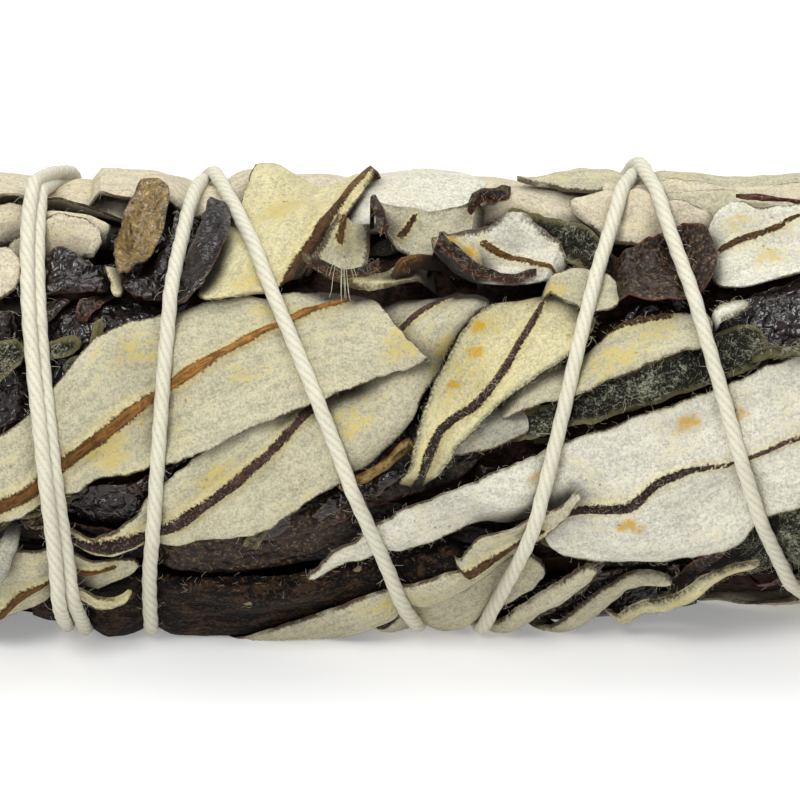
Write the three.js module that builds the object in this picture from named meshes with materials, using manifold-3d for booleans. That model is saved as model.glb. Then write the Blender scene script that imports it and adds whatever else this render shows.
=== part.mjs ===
// A bunch of dried white sage: five leafy stems twisted together, bound criss-cross with one cotton string.
// Millimetres, +Z up. The bunch lies on its side along X, cut stems at -X and leaf tips at +X.
// Places on the bunch are [mm along X, degrees round it]; 0 degrees faces the viewer and plus is upwards.
import * as THREE from "three";
import Module from "manifold-3d";

const solids = await Module();
solids.setup();

// Driving dimensions of the whole bunch.
const BUNCH_LENGTH = 100;
const BUNCH_RADIUS = 14.1;
const AXIS_HEIGHT = 12;
const CENTRE_SHIFT = 0.4;
const FACE_TILT = 25;
const CLEARANCE = 0.3;

// The inner leaves of each sprig are packed into a twisted wedge, which the outer leaves stand out of.
const SPRIG_COUNT = 5;
const SPRIG_TURN = 360 / SPRIG_COUNT;
const SPRIG_TWIST = 2;
const CORE_RADIUS = 11.5;
const CORE_START = -45;
const CORE_END = 49;
const CORE_STEPS = 10;
const CORE_ARC_STEPS = 6;
const CORE_HALF_GAP = 0.2;

// The lower right of the bunch is flatter than the rest.
const HOLLOW_DEPTH = 1.5;
const HOLLOW_AT = [22, -75];
const HOLLOW_SPREAD = [13, 32];

// Each sprig's stem runs inside its wedge and shows only its cut end.
const STEM_RADIUS = 1.8;
const STEM_TIP_RADIUS = 0.9;
const STEM_ORBIT = 6.4;
const STEM_END = 18;
const STEM_STEPS = 6;
const STEM_SIDES = 7;

// Leaf blades.
const LEAF_STEP = 0.7;
const LEAF_SUNK_STEP = 0.15;
const LEAF_ROOT = 0.6;
const LEAF_ROOM = 3;
const SKIN_REACH = 2;
const SKIN_SOFTNESS = 2;
const LEAF_LEAST_WIDTH = 0.7;
const SINK_SHARE = 0.16;
const LONG_LEAF = 14;
const SIMPLEST = 0.07;

// The leaves that grow in ranks up each sprig.
const RANK_COUNT = 5;
const RANK_SPACING = 17;
const RANK_START = -44;
const RANK_LENGTH = [26, 30];
const RANK_HALF_WIDTH = [3.6, 4.8];
const RANK_SEED = 4206;
const SEEN_X = 23;
const SEEN_TURN = [-92, 84];

// String.
const STRING_RADIUS = 0.5;
const STRING_SIDES = 5;
const STRING_STEPS = 16;
const STRING_FLOOR = 0.06;
const STRING_SPARE = 0.05;
const GROOVE_BELOW = 3;
const KNOT_SCALE = 0.45;
const KNOT_STEPS = 8;

const MM_PER_DEGREE = (BUNCH_RADIUS * Math.PI) / 180;
const TIP_LIMIT = BUNCH_LENGTH / 2 - 0.2;
const COLOUR = { pale: 0xc4bfa4, stem: 0x4a3324, string: 0xe2dfd2 };

// The outer leaves on the side that faces the viewer, from the lowest layer to the highest.
// Each has a lower and an upper edge, both from the base, which is sunk in the bunch, to the free tip.
const OUTER_LEAVES = [
  // Dark leaves low in the left, the middle and the right.
  {
    lower: [[-27, -12], [-21, 0], [-17, 14], [-12, 20]],
    upper: [[-27, 20], [-21, 25], [-16, 29], [-12, 30]],
  },
  {
    lower: [[-24, -58], [-15, -53], [-8, -55], [0, -44]],
    upper: [[-24, -36], [-15, -37], [-8, -34], [1, -30]],
  },
  {
    lower: [[-12, -42], [-6, -38], [-1, -30], [4, -24]],
    upper: [[-12, -30], [-6, -26], [0, -8], [6, -6]],
  },
  {
    lower: [[12, -68], [18, -64], [22, -59], [27, -52]],
    upper: [[12, -44], [17, -41], [21, -35], [27, -22]],
  },
  { lower: [[18, 4], [21, 8], [23, 11], [27, 12]], upper: [[18, 22], [20.5, 28], [22, 32], [27, 38]] },
  // The dark stalk along the bottom.
  {
    lower: [[-22, -94], [-14, -88], [-9, -80], [-4, -68], [0, -57], [4, -45]],
    upper: [[-22, -60], [-14, -55], [-9, -53], [-5, -51.5], [-1, -48], [3.5, -41.5]],
  },
  // Pale leaves at the top, from left to right.
  { lower: [[-28, 40], [-22, 42], [-18, 44]], upper: [[-28, 60], [-21, 58], [-17.5, 55]] },
  { lower: [[-30, 57], [-22, 58], [-14, 62]], upper: [[-30, 84], [-22, 86], [-14, 84]] },
  { lower: [[-20, 64], [-14, 66], [-7, 70]], upper: [[-20, 92], [-14, 93], [-7, 88]] },
  { lower: [[-4, 54], [0, 57], [6, 61]], upper: [[-4, 86], [1, 86], [6, 79]] },
  { lower: [[20, 58], [12, 58], [5, 60]], upper: [[20, 84], [12, 85], [5, 78]] },
  { lower: [[27, 52], [22, 55], [16, 54], [12, 53]], upper: [[27, 70], [21, 74], [16, 72], [12, 66]] },
  // Bottom left: a pale leaf and its torn neighbour.
  {
    lower: [[-28, -76], [-23, -67], [-19, -58], [-15.5, -52]],
    upper: [[-28, -52], [-23, -45], [-19, -45], [-15.5, -47.5]],
  },
  { lower: [[-21, -60], [-18, -63], [-15.8, -64]], upper: [[-21, -54], [-18, -53], [-15.8, -53]] },
  // Pale strips along the bottom, lowest first.
  {
    lower: [[-1, -102], [4, -82], [7, -68], [9, -57]],
    upper: [[-3, -82], [1.5, -69], [4, -62], [8, -49]],
  },
  {
    lower: [[-7, -90], [0, -70], [4, -60], [6, -54], [9.5, -38]],
    upper: [[-9, -79], [-2, -62], [2, -51.5], [6, -43.5], [9.3, -33]],
  },
  // The second long leaf, seen on both sides of the broad one.
  {
    lower: [[-23, -43.5], [-14, -41], [-8, -33], [-4, -23], [0, -8], [2.5, 10], [5, 26], [6, 33]],
    upper: [[-23, -39], [-17, -36.5], [-14.5, -25], [-11.5, -13], [-7, 2], [-3, 20], [1, 34]],
  },
  // Middle right: small grey leaf, dark hairy band, pale leaf above it.
  { lower: [[2, -16], [5, -13], [8, -8.5]], upper: [[2.6, -8], [5.5, -2], [8.2, -3]] },
  {
    lower: [[6.5, -11], [11, -7], [15, -1], [18.5, 5], [22, 9]],
    upper: [[6.5, -4], [11, 3], [14, 8], [18, 17], [21.5, 21]],
  },
  {
    lower: [[5, -8], [8, -2], [10.5, 1], [13, 6], [15.5, 10], [18.5, 14]],
    upper: [[5.5, -1], [8.5, 8], [11, 14], [13, 20], [15.5, 23], [18.5, 25]],
  },
  // The broad leaf on the left.
  {
    lower: [[-26, -38], [-22, -29], [-17, -21], [-12, -14], [-8, -6], [-4, 1], [0, 7], [1.7, 10]],
    upper: [[-26, -16], [-22, -4], [-18, 15], [-14.5, 23], [-7, 31], [-2.4, 31], [0, 19], [1.7, 11]],
  },
  // The narrow leaf with the dark hairy rib.
  {
    lower: [[0.5, -30], [2, -22], [3.5, -12], [5.5, -3], [8, 6], [10.5, 14], [12.5, 27]],
    upper: [[0, -29], [0.2, -20], [1, -8], [2, 3], [3, 12], [4.5, 22], [6.5, 31]],
  },
  // Small curled leaves low on the right.
  { lower: [[6.5, -86], [9, -71], [12, -53]], upper: [[5.5, -80], [8, -64], [11.3, -51]] },
  { lower: [[10, -84], [13, -71], [16.4, -57]], upper: [[9.2, -78], [12.3, -64], [15.8, -54.5]] },
  { lower: [[14.5, -72], [18, -61], [21.5, -51]], upper: [[14.3, -66], [17.6, -56], [21, -48.5]] },
  // The big pale leaf low on the right, and the rolled tip that lies on it.
  {
    lower: [[27, -20], [22, -33], [20, -41], [17, -46], [13, -48], [9.5, -46], [7.5, -36], [2, -39.5],
      [-5.5, -50.5]],
    upper: [[27, 17], [20, 5], [16, -2], [12, -8], [8, -14.5], [4, -22], [0, -30], [-3, -40], [-5.5, -50]],
  },
  {
    lower: [[2.4, -50], [5, -47], [7, -43], [8.6, -38], [10.7, -23.5]],
    upper: [[2.6, -48], [4.2, -40], [7, -33], [8.6, -29.5], [10.3, -23]],
  },
  // Dark crinkled leaves top left.
  { lower: [[-24, 28], [-20, 30], [-17, 30]], upper: [[-24, 36], [-20, 42.5], [-17.2, 37]] },
  {
    lower: [[-11.8, 68], [-12.2, 52], [-12.8, 40], [-14, 26]],
    upper: [[-13, 69], [-13.8, 55], [-15, 40], [-16.8, 28]],
  },
  {
    lower: [[-13.6, 70], [-13.9, 55], [-14.8, 42], [-16.2, 32]],
    upper: [[-14.9, 70], [-16, 57], [-17, 42], [-16.9, 32]],
  },
  // The yellowish leaf at the top and the dark leaf on its edge.
  {
    lower: [[-8, 92], [-9, 75], [-10.2, 60], [-10.8, 45], [-12, 30], [-13.2, 24]],
    upper: [[-0.8, 90], [-1.6, 75], [-2.8, 62], [-4.2, 50], [-5.3, 38], [-6.8, 30.5]],
  },
  {
    lower: [[-10.8, 71], [-10.1, 54], [-10.5, 42], [-11.3, 32], [-12.8, 23.5]],
    upper: [[-11, 71], [-11.9, 52], [-12.6, 40], [-13.5, 25]],
  },
  // The crumpled leaf ends at the top of the middle.
  { lower: [[-3.4, 56], [-4.3, 46], [-5, 37]], upper: [[-1.8, 55], [-1.8, 46], [-2, 38]] },
  {
    lower: [[4.8, 53], [3.2, 46], [0, 46], [-1.5, 51]],
    upper: [[5.8, 59], [3, 59], [0, 57], [-2, 56]],
  },
  {
    lower: [[2.2, 37], [0.8, 33], [-2, 29.5], [-4, 31], [-5.7, 35]],
    upper: [[2, 45], [0, 39], [-2, 34], [-4, 33.8], [-5.9, 37]],
  },
  {
    lower: [[12.5, 36], [10.5, 38], [9, 43], [7.2, 50]],
    upper: [[13, 47], [10.5, 53], [8, 56], [6, 57]],
  },
  {
    lower: [[9.8, 33], [8, 30.5], [5, 30.5], [3, 35], [1.8, 40]],
    upper: [[10.2, 38], [9.5, 44], [7, 52], [4.5, 47.5], [2, 44]],
  },
  // Top right: square ended leaf, dark felted leaf, pale leaf.
  { lower: [[8, 27.5], [10, 26], [13.2, 23]], upper: [[8.2, 30], [10, 34.5], [13, 36.5]] },
  { lower: [[27, 40], [22, 33], [18.5, 28]], upper: [[27, 59], [22, 55.5], [17.5, 53]] },
  {
    lower: [[12.4, 26], [15, 25], [17, 26], [18.8, 30]],
    upper: [[12.4, 40], [14, 45], [16.5, 51], [18.8, 46]],
  },
];

// The string's place along the bunch at each quarter turn, from the knot to the leaf tips and back.
// Each line is one turn: behind, underneath, low on the viewer's side, high on the viewer's side.
const STRING_FIRST_TURN = 135;
const STRING_STATIONS = [
  [-44.2, -44.0, -43.7, -43.4],
  [-43.1, -42.9, -42.6, -42.3],
  [-42.0, -41.0, -39.6, -36.0],
  [-28.5, -16.2, -14.8, -13.1],
  [-9.5, 0.5, 7.2, 12.2],
  [17.0, 24.5, 30.5, 35.0],
  [39.0, 41.0, 41.8, 42.2],
  [42.6, 42.8, 42.7, 42.3],
  [41.6, 40.8, 39.6, 37.5],
  [33.0, 27.5, 22.1, 16.3],
  [11.5, 4.0, -1.0, -8.7],
  [-13.0, -17.0, -19.7, -21.5],
  [-19.5, -19.4, -20.4, -22.1],
  [-19.4, -26.0, -31.0, -35.5],
  [-38.8, -40.6, -41.2, -41.4],
].flat();

// Numbers from 0 to 1, the same on every run.
function seededNumbers(seed) {
  let state = seed >>> 0;
  return () => {
    state = (state + 0x6d2b79f5) >>> 0;
    let mixed = Math.imul(state ^ (state >>> 15), state | 1);
    mixed ^= mixed + Math.imul(mixed ^ (mixed >>> 7), mixed | 61);
    return ((mixed ^ (mixed >>> 14)) >>> 0) / 4294967296;
  };
}

function wrap(value, size) {
  return ((value % size) + size) % size;
}

function signedTurn(turn) {
  return wrap(turn + 180, 360) - 180;
}

function bell(offset) {
  return Math.exp(-offset * offset);
}

// A point of the bunch in space.
function pointAt(x, turn, radius) {
  const angle = THREE.MathUtils.degToRad(turn + FACE_TILT);
  const outward = radius * Math.cos(angle);
  return new THREE.Vector3(x, CENTRE_SHIFT - outward, AXIS_HEIGHT + radius * Math.sin(angle));
}

// Radius of the packed inner leaves: it narrows a little to the cut stems and rounds off at the leaf tips.
function coreRadius(x, turn) {
  const tipward = Math.max(0, (x - 35) / 15);
  const buttward = Math.max(0, (-34 - x) / 16);
  const taper = Math.sqrt(Math.max(0.08, 1 - tipward * tipward)) * (1 - 0.16 * buttward * buttward);
  const acrossX = bell((x - HOLLOW_AT[0]) / HOLLOW_SPREAD[0]);
  const acrossTurn = bell(signedTurn(turn - HOLLOW_AT[1]) / HOLLOW_SPREAD[1]);
  return CORE_RADIUS * taper - HOLLOW_DEPTH * acrossX * acrossTurn;
}

// Which sprig a place on the bunch belongs to.
function sprigAt(x, turn) {
  return Math.floor(wrap(turn - SPRIG_TWIST * x, 360) / SPRIG_TURN) % SPRIG_COUNT;
}

// How high the bunch has been built up so far, on a grid along and round it.
class Relief {
  static cellX = 0.5;
  static cellTurn = 2;
  static firstX = -54;
  static columns = 217;
  static rows = 180;

  constructor() {
    this.height = new Float64Array(Relief.columns * Relief.rows);
    for (let column = 0; column < Relief.columns; column += 1) {
      for (let row = 0; row < Relief.rows; row += 1) {
        const x = Relief.firstX + column * Relief.cellX;
        this.height[column * Relief.rows + row] = coreRadius(x, row * Relief.cellTurn);
      }
    }
  }

  // The grid after each cell takes a value from its neighbours, first along and then round the bunch.
  static filter(field, reach, combine) {
    let from = field;
    for (const along of [true, false]) {
      const to = new Float64Array(from.length);
      for (let column = 0; column < Relief.columns; column += 1) {
        for (let row = 0; row < Relief.rows; row += 1) {
          const near = [];
          for (let step = -reach; step <= reach; step += 1) {
            const c = along ? THREE.MathUtils.clamp(column + step, 0, Relief.columns - 1) : column;
            const r = along ? row : wrap(row + step, Relief.rows);
            near.push(from[c * Relief.rows + r]);
          }
          to[column * Relief.rows + row] = combine(near);
        }
      }
      from = to;
    }
    return from;
  }

  widened(reach) {
    return Relief.filter(this.height, reach, (near) => Math.max(...near));
  }

  // A taut skin over the bunch, which the next leaf follows.
  skin() {
    const mean = (near) => near.reduce((sum, value) => sum + value, 0) / near.length;
    return Relief.filter(this.widened(SKIN_REACH), SKIN_SOFTNESS, mean);
  }

  static read(field, x, turn) {
    const column = THREE.MathUtils.clamp((x - Relief.firstX) / Relief.cellX, 0, Relief.columns - 1.001);
    const row = wrap(turn, 360) / Relief.cellTurn;
    const c = Math.floor(column);
    const r = Math.floor(row);
    const next = (r + 1) % Relief.rows;
    const across = (cell) => THREE.MathUtils.lerp(field[cell + r], field[cell + next], row - r);
    return THREE.MathUtils.lerp(across(c * Relief.rows), across((c + 1) * Relief.rows), column - c);
  }

  raise(x, turn, radius) {
    const place = Math.round((x - Relief.firstX) / Relief.cellX);
    const column = THREE.MathUtils.clamp(place, 0, Relief.columns - 1);
    const row = Math.round(wrap(turn, 360) / Relief.cellTurn) % Relief.rows;
    const cell = column * Relief.rows + row;
    this.height[cell] = Math.max(this.height[cell], radius);
  }
}

// A closed geometry from its corner points and the triangles between them.
function closedGeometry(points, triangles) {
  const geometry = new THREE.BufferGeometry().setFromPoints(points);
  geometry.setIndex(triangles);
  return geometry;
}

function solidOf(geometry) {
  const vertProperties = new Float32Array(geometry.getAttribute("position").array);
  const triVerts = new Uint32Array(geometry.index.array);
  return new solids.Manifold(new solids.Mesh({ numProp: 3, vertProperties, triVerts }));
}

// The largest body of a fused solid: loose scraps and sealed hollows are left out.
function mainBody(solid) {
  const bodies = solid.simplify(SIMPLEST).decompose();
  return bodies.reduce((best, body) => (body.volume() > best.volume() ? body : best));
}

function geometryOf(solid) {
  const mesh = solid.getMesh();
  const geometry = new THREE.BufferGeometry();
  geometry.setAttribute("position", new THREE.BufferAttribute(new Float32Array(mesh.vertProperties), 3));
  geometry.setIndex(new THREE.BufferAttribute(new Uint32Array(mesh.triVerts), 1));
  return geometry.toNonIndexed();
}

// A solid through rings of equal size, each a loop of points. The split of the loop's last side is mirrored.
function loft(rings) {
  const size = rings[0].length;
  const triangles = [];
  for (let ring = 0; ring + 1 < rings.length; ring += 1) {
    for (let side = 0; side < size; side += 1) {
      const a = ring * size + side;
      const b = ring * size + ((side + 1) % size);
      const c = a + size;
      const d = b + size;
      triangles.push(...(side + 1 < size ? [a, c, d, a, d, b] : [a, c, b, c, d, b]));
    }
  }
  const last = (rings.length - 1) * size;
  for (let side = 1; side + 1 < size; side += 1) {
    triangles.push(0, side, side + 1, last, last + side + 1, last + side);
  }
  return closedGeometry(rings.flat(), triangles);
}

// Rings of a round rod through points in space, each turned with the outward direction of the bunch there.
function rodRings(path, sides) {
  return path.map(({ point, outward, radius }, index) => {
    const before = path[Math.max(0, index - 1)].point;
    const after = path[Math.min(path.length - 1, index + 1)].point;
    const along = after.clone().sub(before).normalize();
    const across = along.clone().cross(outward).normalize();
    const lift = across.clone().cross(along);
    return Array.from({ length: sides }, (_, side) => {
      const angle = (2 * Math.PI * side) / sides;
      return point
        .clone()
        .addScaledVector(across, radius * Math.cos(angle))
        .addScaledVector(lift, radius * Math.sin(angle));
    });
  });
}

// A long rod as solids end to end, so that where it crosses itself they can be fused.
function rodSolids(path, sides, stepsPerSolid) {
  const rings = rodRings(path, sides);
  const made = [];
  for (let first = 0; first + 1 < rings.length; first += stepsPerSolid) {
    made.push(solidOf(loft(rings.slice(first, first + stepsPerSolid + 1))));
  }
  return made;
}

// A leaf blade that follows the bunch, given its two edges on the unrolled bunch.
class Leaf {
  constructor({ lower, upper }) {
    const spline = (edge) =>
      new THREE.SplineCurve(edge.map(([x, turn]) => new THREE.Vector2(x, turn * MM_PER_DEGREE)));
    const first = spline(lower);
    const second = spline(upper);
    const across = second.getPointAt(0.5).sub(first.getPointAt(0.5));
    const leftward = first.getTangentAt(0.5).cross(across) > 0;
    [this.lower, this.upper] = leftward ? [first, second] : [second, first];
    const length = (this.lower.getLength() + this.upper.getLength()) / 2;
    this.steps = length > LONG_LEAF ? 5 : 3;
    const middle = first.getPointAt(0.4).add(second.getPointAt(0.4)).multiplyScalar(0.5);
    this.sprig = sprigAt(middle.x, middle.y / MM_PER_DEGREE);
  }

  // The blade's corner places: a row of three at each step, with the edges let out by a margin.
  places(margin) {
    const rows = [];
    for (let step = 0; step <= this.steps; step += 1) {
      const share = step / this.steps;
      const low = this.lower.getPointAt(share);
      const high = this.upper.getPointAt(share);
      const middle = low.clone().add(high).multiplyScalar(0.5);
      const half = high.clone().sub(low).multiplyScalar(0.5);
      const along = this.lower.getTangentAt(share).add(this.upper.getTangentAt(share)).normalize();
      if (half.length() < LEAF_LEAST_WIDTH / 2) {
        half.set(-along.y, along.x).multiplyScalar(LEAF_LEAST_WIDTH / 2);
      }
      half.setLength(half.length() + margin);
      if (step === 0) middle.addScaledVector(along, -margin);
      if (step === this.steps) middle.addScaledVector(along, margin);
      rows.push([middle.clone().sub(half), middle, middle.clone().add(half)]);
    }
    return rows;
  }

  // Lays the blade on the bunch as built so far and builds the bunch up by it.
  settle(relief) {
    const skin = relief.skin();
    this.tops = this.places(0).map((row, step) =>
      row.map(({ x, y }) => {
        const turn = y / MM_PER_DEGREE;
        const laid = Relief.read(skin, x, turn) + LEAF_STEP;
        const sunk = coreRadius(x, turn) + LEAF_SUNK_STEP;
        const share = step / this.steps;
        return share < SINK_SHARE ? THREE.MathUtils.lerp(sunk, laid, share / SINK_SHARE) : laid;
      }),
    );
    const rows = this.places(0);
    const fine = 40;
    for (let i = 0; i <= fine; i += 1) {
      for (let j = 0; j <= fine; j += 1) {
        const along = Math.min((i / fine) * this.steps, this.steps - 1e-6);
        const across = Math.min((j / fine) * 2, 2 - 1e-6);
        const [a, b] = [Math.floor(along), Math.floor(across)];
        const mix = (pick) =>
          THREE.MathUtils.lerp(
            THREE.MathUtils.lerp(pick(a, b), pick(a + 1, b), along - a),
            THREE.MathUtils.lerp(pick(a, b + 1), pick(a + 1, b + 1), along - a),
            across - b,
          );
        const x = mix((s, t) => rows[s][t].x);
        const y = mix((s, t) => rows[s][t].y);
        relief.raise(x, y / MM_PER_DEGREE, mix((s, t) => this.tops[s][t]));
      }
    }
  }

  // The blade as a solid, rooted in the packed leaves under it. With a margin it is larger all round
  // and open upwards: the room it takes from the leaves of other sprigs. Its side walls bulge outwards.
  solid(margin) {
    const rows = this.places(margin);
    const points = [];
    for (const under of [0, 1]) {
      rows.forEach((row, step) =>
        row.forEach(({ x, y }, side) => {
          const turn = y / MM_PER_DEGREE;
          const top = this.tops[step][side] + (margin ? LEAF_ROOM : 0);
          const radius = under ? coreRadius(x, turn) - LEAF_ROOT - margin : top;
          points.push(pointAt(THREE.MathUtils.clamp(x, -TIP_LIMIT, TIP_LIMIT + margin), turn, radius));
        }),
      );
    }
    const width = 3;
    const below = rows.length * width;
    const triangles = [];
    for (let step = 0; step < this.steps; step += 1) {
      for (let side = 0; side + 1 < width; side += 1) {
        const a = step * width + side;
        const b = a + width;
        triangles.push(a, b, b + 1, a, b + 1, a + 1);
        triangles.push(below + a, below + b + 1, below + b, below + a, below + a + 1, below + b + 1);
      }
      for (const side of [0, width - 1]) {
        const here = step * width + side;
        const [top, nextTop, under, nextUnder] = [here, here + width, below + here, below + here + width];
        const rise = rows[step + 1][side].y - rows[step][side].y;
        const lean = rows[step][side].y - rows[step][1].y;
        const wall = rise * lean > 0
          ? [nextTop, top, under, nextTop, under, nextUnder]
          : [nextTop, top, nextUnder, top, under, nextUnder];
        triangles.push(...(side === 0 ? wall : wall.reverse()));
      }
    }
    const end = this.steps * width;
    for (let side = 0; side + 1 < width; side += 1) {
      triangles.push(side, side + 1, below + side + 1, side, below + side + 1, below + side);
      const tip = end + side;
      triangles.push(tip + 1, tip, below + tip, tip + 1, below + tip, below + tip + 1);
    }
    return solidOf(closedGeometry(points, triangles));
  }
}

// Half-width of a sage leaf along its length, as a share of its widest.
function leafOutline(share) {
  const rise = Math.sin((Math.PI / 2) * Math.min(1, share / 0.4));
  const fall = Math.cos((Math.PI / 2) * Math.max(0, (share - 0.5) / 0.5));
  return Math.max(0.1, (0.25 + 0.75 * rise) * Math.pow(Math.max(0, fall), 0.8));
}

// The leaves in ranks up every sprig, laid from the tip end to the cut stems, except where the
// outer leaves of the viewer's side go.
function rankLeaves() {
  const next = seededNumbers(RANK_SEED);
  const between = (low, high) => low + (high - low) * next();
  const made = [];
  for (let rank = RANK_COUNT - 1; rank >= 0; rank -= 1) {
    for (let sprig = 0; sprig < SPRIG_COUNT; sprig += 1) {
      for (const side of [0, 1]) {
        const baseX = RANK_START + rank * RANK_SPACING + between(-1.5, 1.5);
        const place = sprig + 0.17 + 0.46 * side + 0.2 * (rank % 2);
        const baseTurn = SPRIG_TWIST * baseX + SPRIG_TURN * place + between(-4, 4);
        const slope = Math.atan(SPRIG_TWIST * MM_PER_DEGREE) + THREE.MathUtils.degToRad(between(-9, 9));
        const length = between(...RANK_LENGTH);
        const half = between(...RANK_HALF_WIDTH);
        const bend = between(-1.5, 1.5);
        const middleX = baseX + (length / 2) * Math.cos(slope);
        const middleTurn = signedTurn(baseTurn + ((length / 2) * Math.sin(slope)) / MM_PER_DEGREE);
        const seen = Math.abs(middleX) < SEEN_X && middleTurn > SEEN_TURN[0] && middleTurn < SEEN_TURN[1];
        if (seen) continue;
        const edge = (sign) =>
          [0, 0.2, 0.45, 0.7, 0.9, 1].map((share) => {
            const off = sign * half * leafOutline(share) + bend * Math.sin(Math.PI * share);
            const x = baseX + length * share * Math.cos(slope) - off * Math.sin(slope);
            const arc = length * share * Math.sin(slope) + off * Math.cos(slope);
            return [x, baseTurn + arc / MM_PER_DEGREE];
          });
        const leaf = new Leaf({ lower: edge(-1), upper: edge(1) });
        leaf.steps = 3;
        leaf.sprig = sprig;
        made.push(leaf);
      }
    }
  }
  return made;
}

// The packed inner leaves of one sprig: a wedge of the bunch, twisted along it.
function coreGeometry(sprig) {
  const rings = [];
  for (let step = 0; step <= CORE_STEPS; step += 1) {
    const x = THREE.MathUtils.lerp(CORE_START, CORE_END, step / CORE_STEPS);
    const start = SPRIG_TWIST * x + SPRIG_TURN * sprig;
    const apex = CORE_HALF_GAP / Math.sin(THREE.MathUtils.degToRad(SPRIG_TURN / 2));
    const ring = [pointAt(x, start + SPRIG_TURN / 2, apex)];
    for (let arc = 0; arc <= CORE_ARC_STEPS; arc += 1) {
      const radius = coreRadius(x, start + (SPRIG_TURN * arc) / CORE_ARC_STEPS);
      const inset = THREE.MathUtils.radToDeg(Math.asin(CORE_HALF_GAP / radius));
      const turn = start + THREE.MathUtils.lerp(inset, SPRIG_TURN - inset, arc / CORE_ARC_STEPS);
      ring.push(pointAt(x, turn, radius));
    }
    rings.push(ring);
  }
  return loft(rings);
}

// One sprig's stem, from its cut end to where it thins out; a margin makes the hole it stands in.
function stemGeometry(sprig, margin) {
  const path = [];
  const start = 0.5 - BUNCH_LENGTH / 2 + (margin ? -1 : 0) + (sprig % 3) * 0.8;
  for (let step = 0; step <= STEM_STEPS; step += 1) {
    const share = step / STEM_STEPS;
    const x = THREE.MathUtils.lerp(start, STEM_END + margin, share);
    const turn = SPRIG_TWIST * x + SPRIG_TURN * (sprig + 0.5);
    const axis = pointAt(x, turn, 0);
    const point = pointAt(x, turn, STEM_ORBIT - 1.2 * Math.max(0, (-34 - x) / 16));
    const radius = THREE.MathUtils.lerp(STEM_RADIUS, STEM_TIP_RADIUS, share) + margin;
    path.push({ point, outward: point.clone().sub(axis).normalize(), radius });
  }
  return loft(rodRings(path, STEM_SIDES));
}

// The string's whole route: it lies on the leaves, is pulled taut, and passes over its own earlier turns.
function stringRoute(relief) {
  const cover = relief.widened(2);
  const perQuarter = STRING_STEPS / 4;
  const stations = new THREE.SplineCurve(STRING_STATIONS.map((x, index) => new THREE.Vector2(index, x)));
  const count = (STRING_STATIONS.length - 1) * perQuarter;
  const route = [];
  const placeAt = (step) => ({
    x: stations.getPoint(THREE.MathUtils.clamp(step / count, 0, 1)).y,
    turn: STRING_FIRST_TURN + (step * 360) / STRING_STEPS,
  });
  for (let step = 0; step <= count; step += 1) {
    const near = [-0.5, -0.25, 0, 0.25, 0.5].map((offset) => placeAt(step + offset));
    const highest = Math.max(...near.map(({ x, turn }) => Relief.read(cover, x, turn)));
    const laid = highest + CLEARANCE + STRING_RADIUS + STRING_SPARE;
    route.push({ ...placeAt(step), radius: laid / Math.cos(Math.PI / STRING_STEPS) });
  }
  const chord = Math.cos((2 * Math.PI) / STRING_STEPS);
  for (let pass = 0; pass < 6; pass += 1) {
    for (let step = 1; step < count; step += 1) {
      const [before, after] = [route[step - 1].radius, route[step + 1].radius];
      const straight = (2 * before * after * chord) / (before + after);
      route[step].radius = Math.max(route[step].radius, straight);
    }
  }
  route.forEach((place, step) => {
    for (let earlier = step - STRING_STEPS; earlier >= 0; earlier -= STRING_STEPS) {
      const apart = Math.abs(route[earlier].x - place.x);
      const lift = 1.4 * STRING_RADIUS * Math.sqrt(Math.max(0, 1 - apart * apart));
      if (lift > 0) place.radius = Math.max(place.radius, route[earlier].radius + lift);
    }
  });
  for (const place of route) {
    const down = -Math.sin(THREE.MathUtils.degToRad(place.turn + FACE_TILT));
    const lowest = (AXIS_HEIGHT - STRING_RADIUS - STRING_FLOOR) / Math.max(down, 1e-6);
    if (down > 0) place.radius = Math.min(place.radius, lowest);
  }
  return route;
}

// Lengths of string along places on the bunch, each a rod of its own, to be fused.
function stringRods(places, stepsPerRod, margin) {
  const path = places.map(({ x, turn, radius }) => {
    const point = pointAt(x, turn, radius);
    const axis = pointAt(x, turn, 0);
    return { point, outward: point.clone().sub(axis).normalize(), radius: STRING_RADIUS + margin };
  });
  return rodSolids(path, STRING_SIDES, stepsPerRod);
}

// The room the string takes underneath, where it is pressed into the leaves so that the bunch lies flat.
function grooveRods(route) {
  const rods = [];
  let run = [];
  for (const place of route) {
    if (pointAt(place.x, place.turn, place.radius).z < GROOVE_BELOW) {
      run.push(place);
    } else if (run.length > 1) {
      rods.push(...stringRods(run, run.length, CLEARANCE));
      run = [];
    }
  }
  return rods;
}

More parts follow.
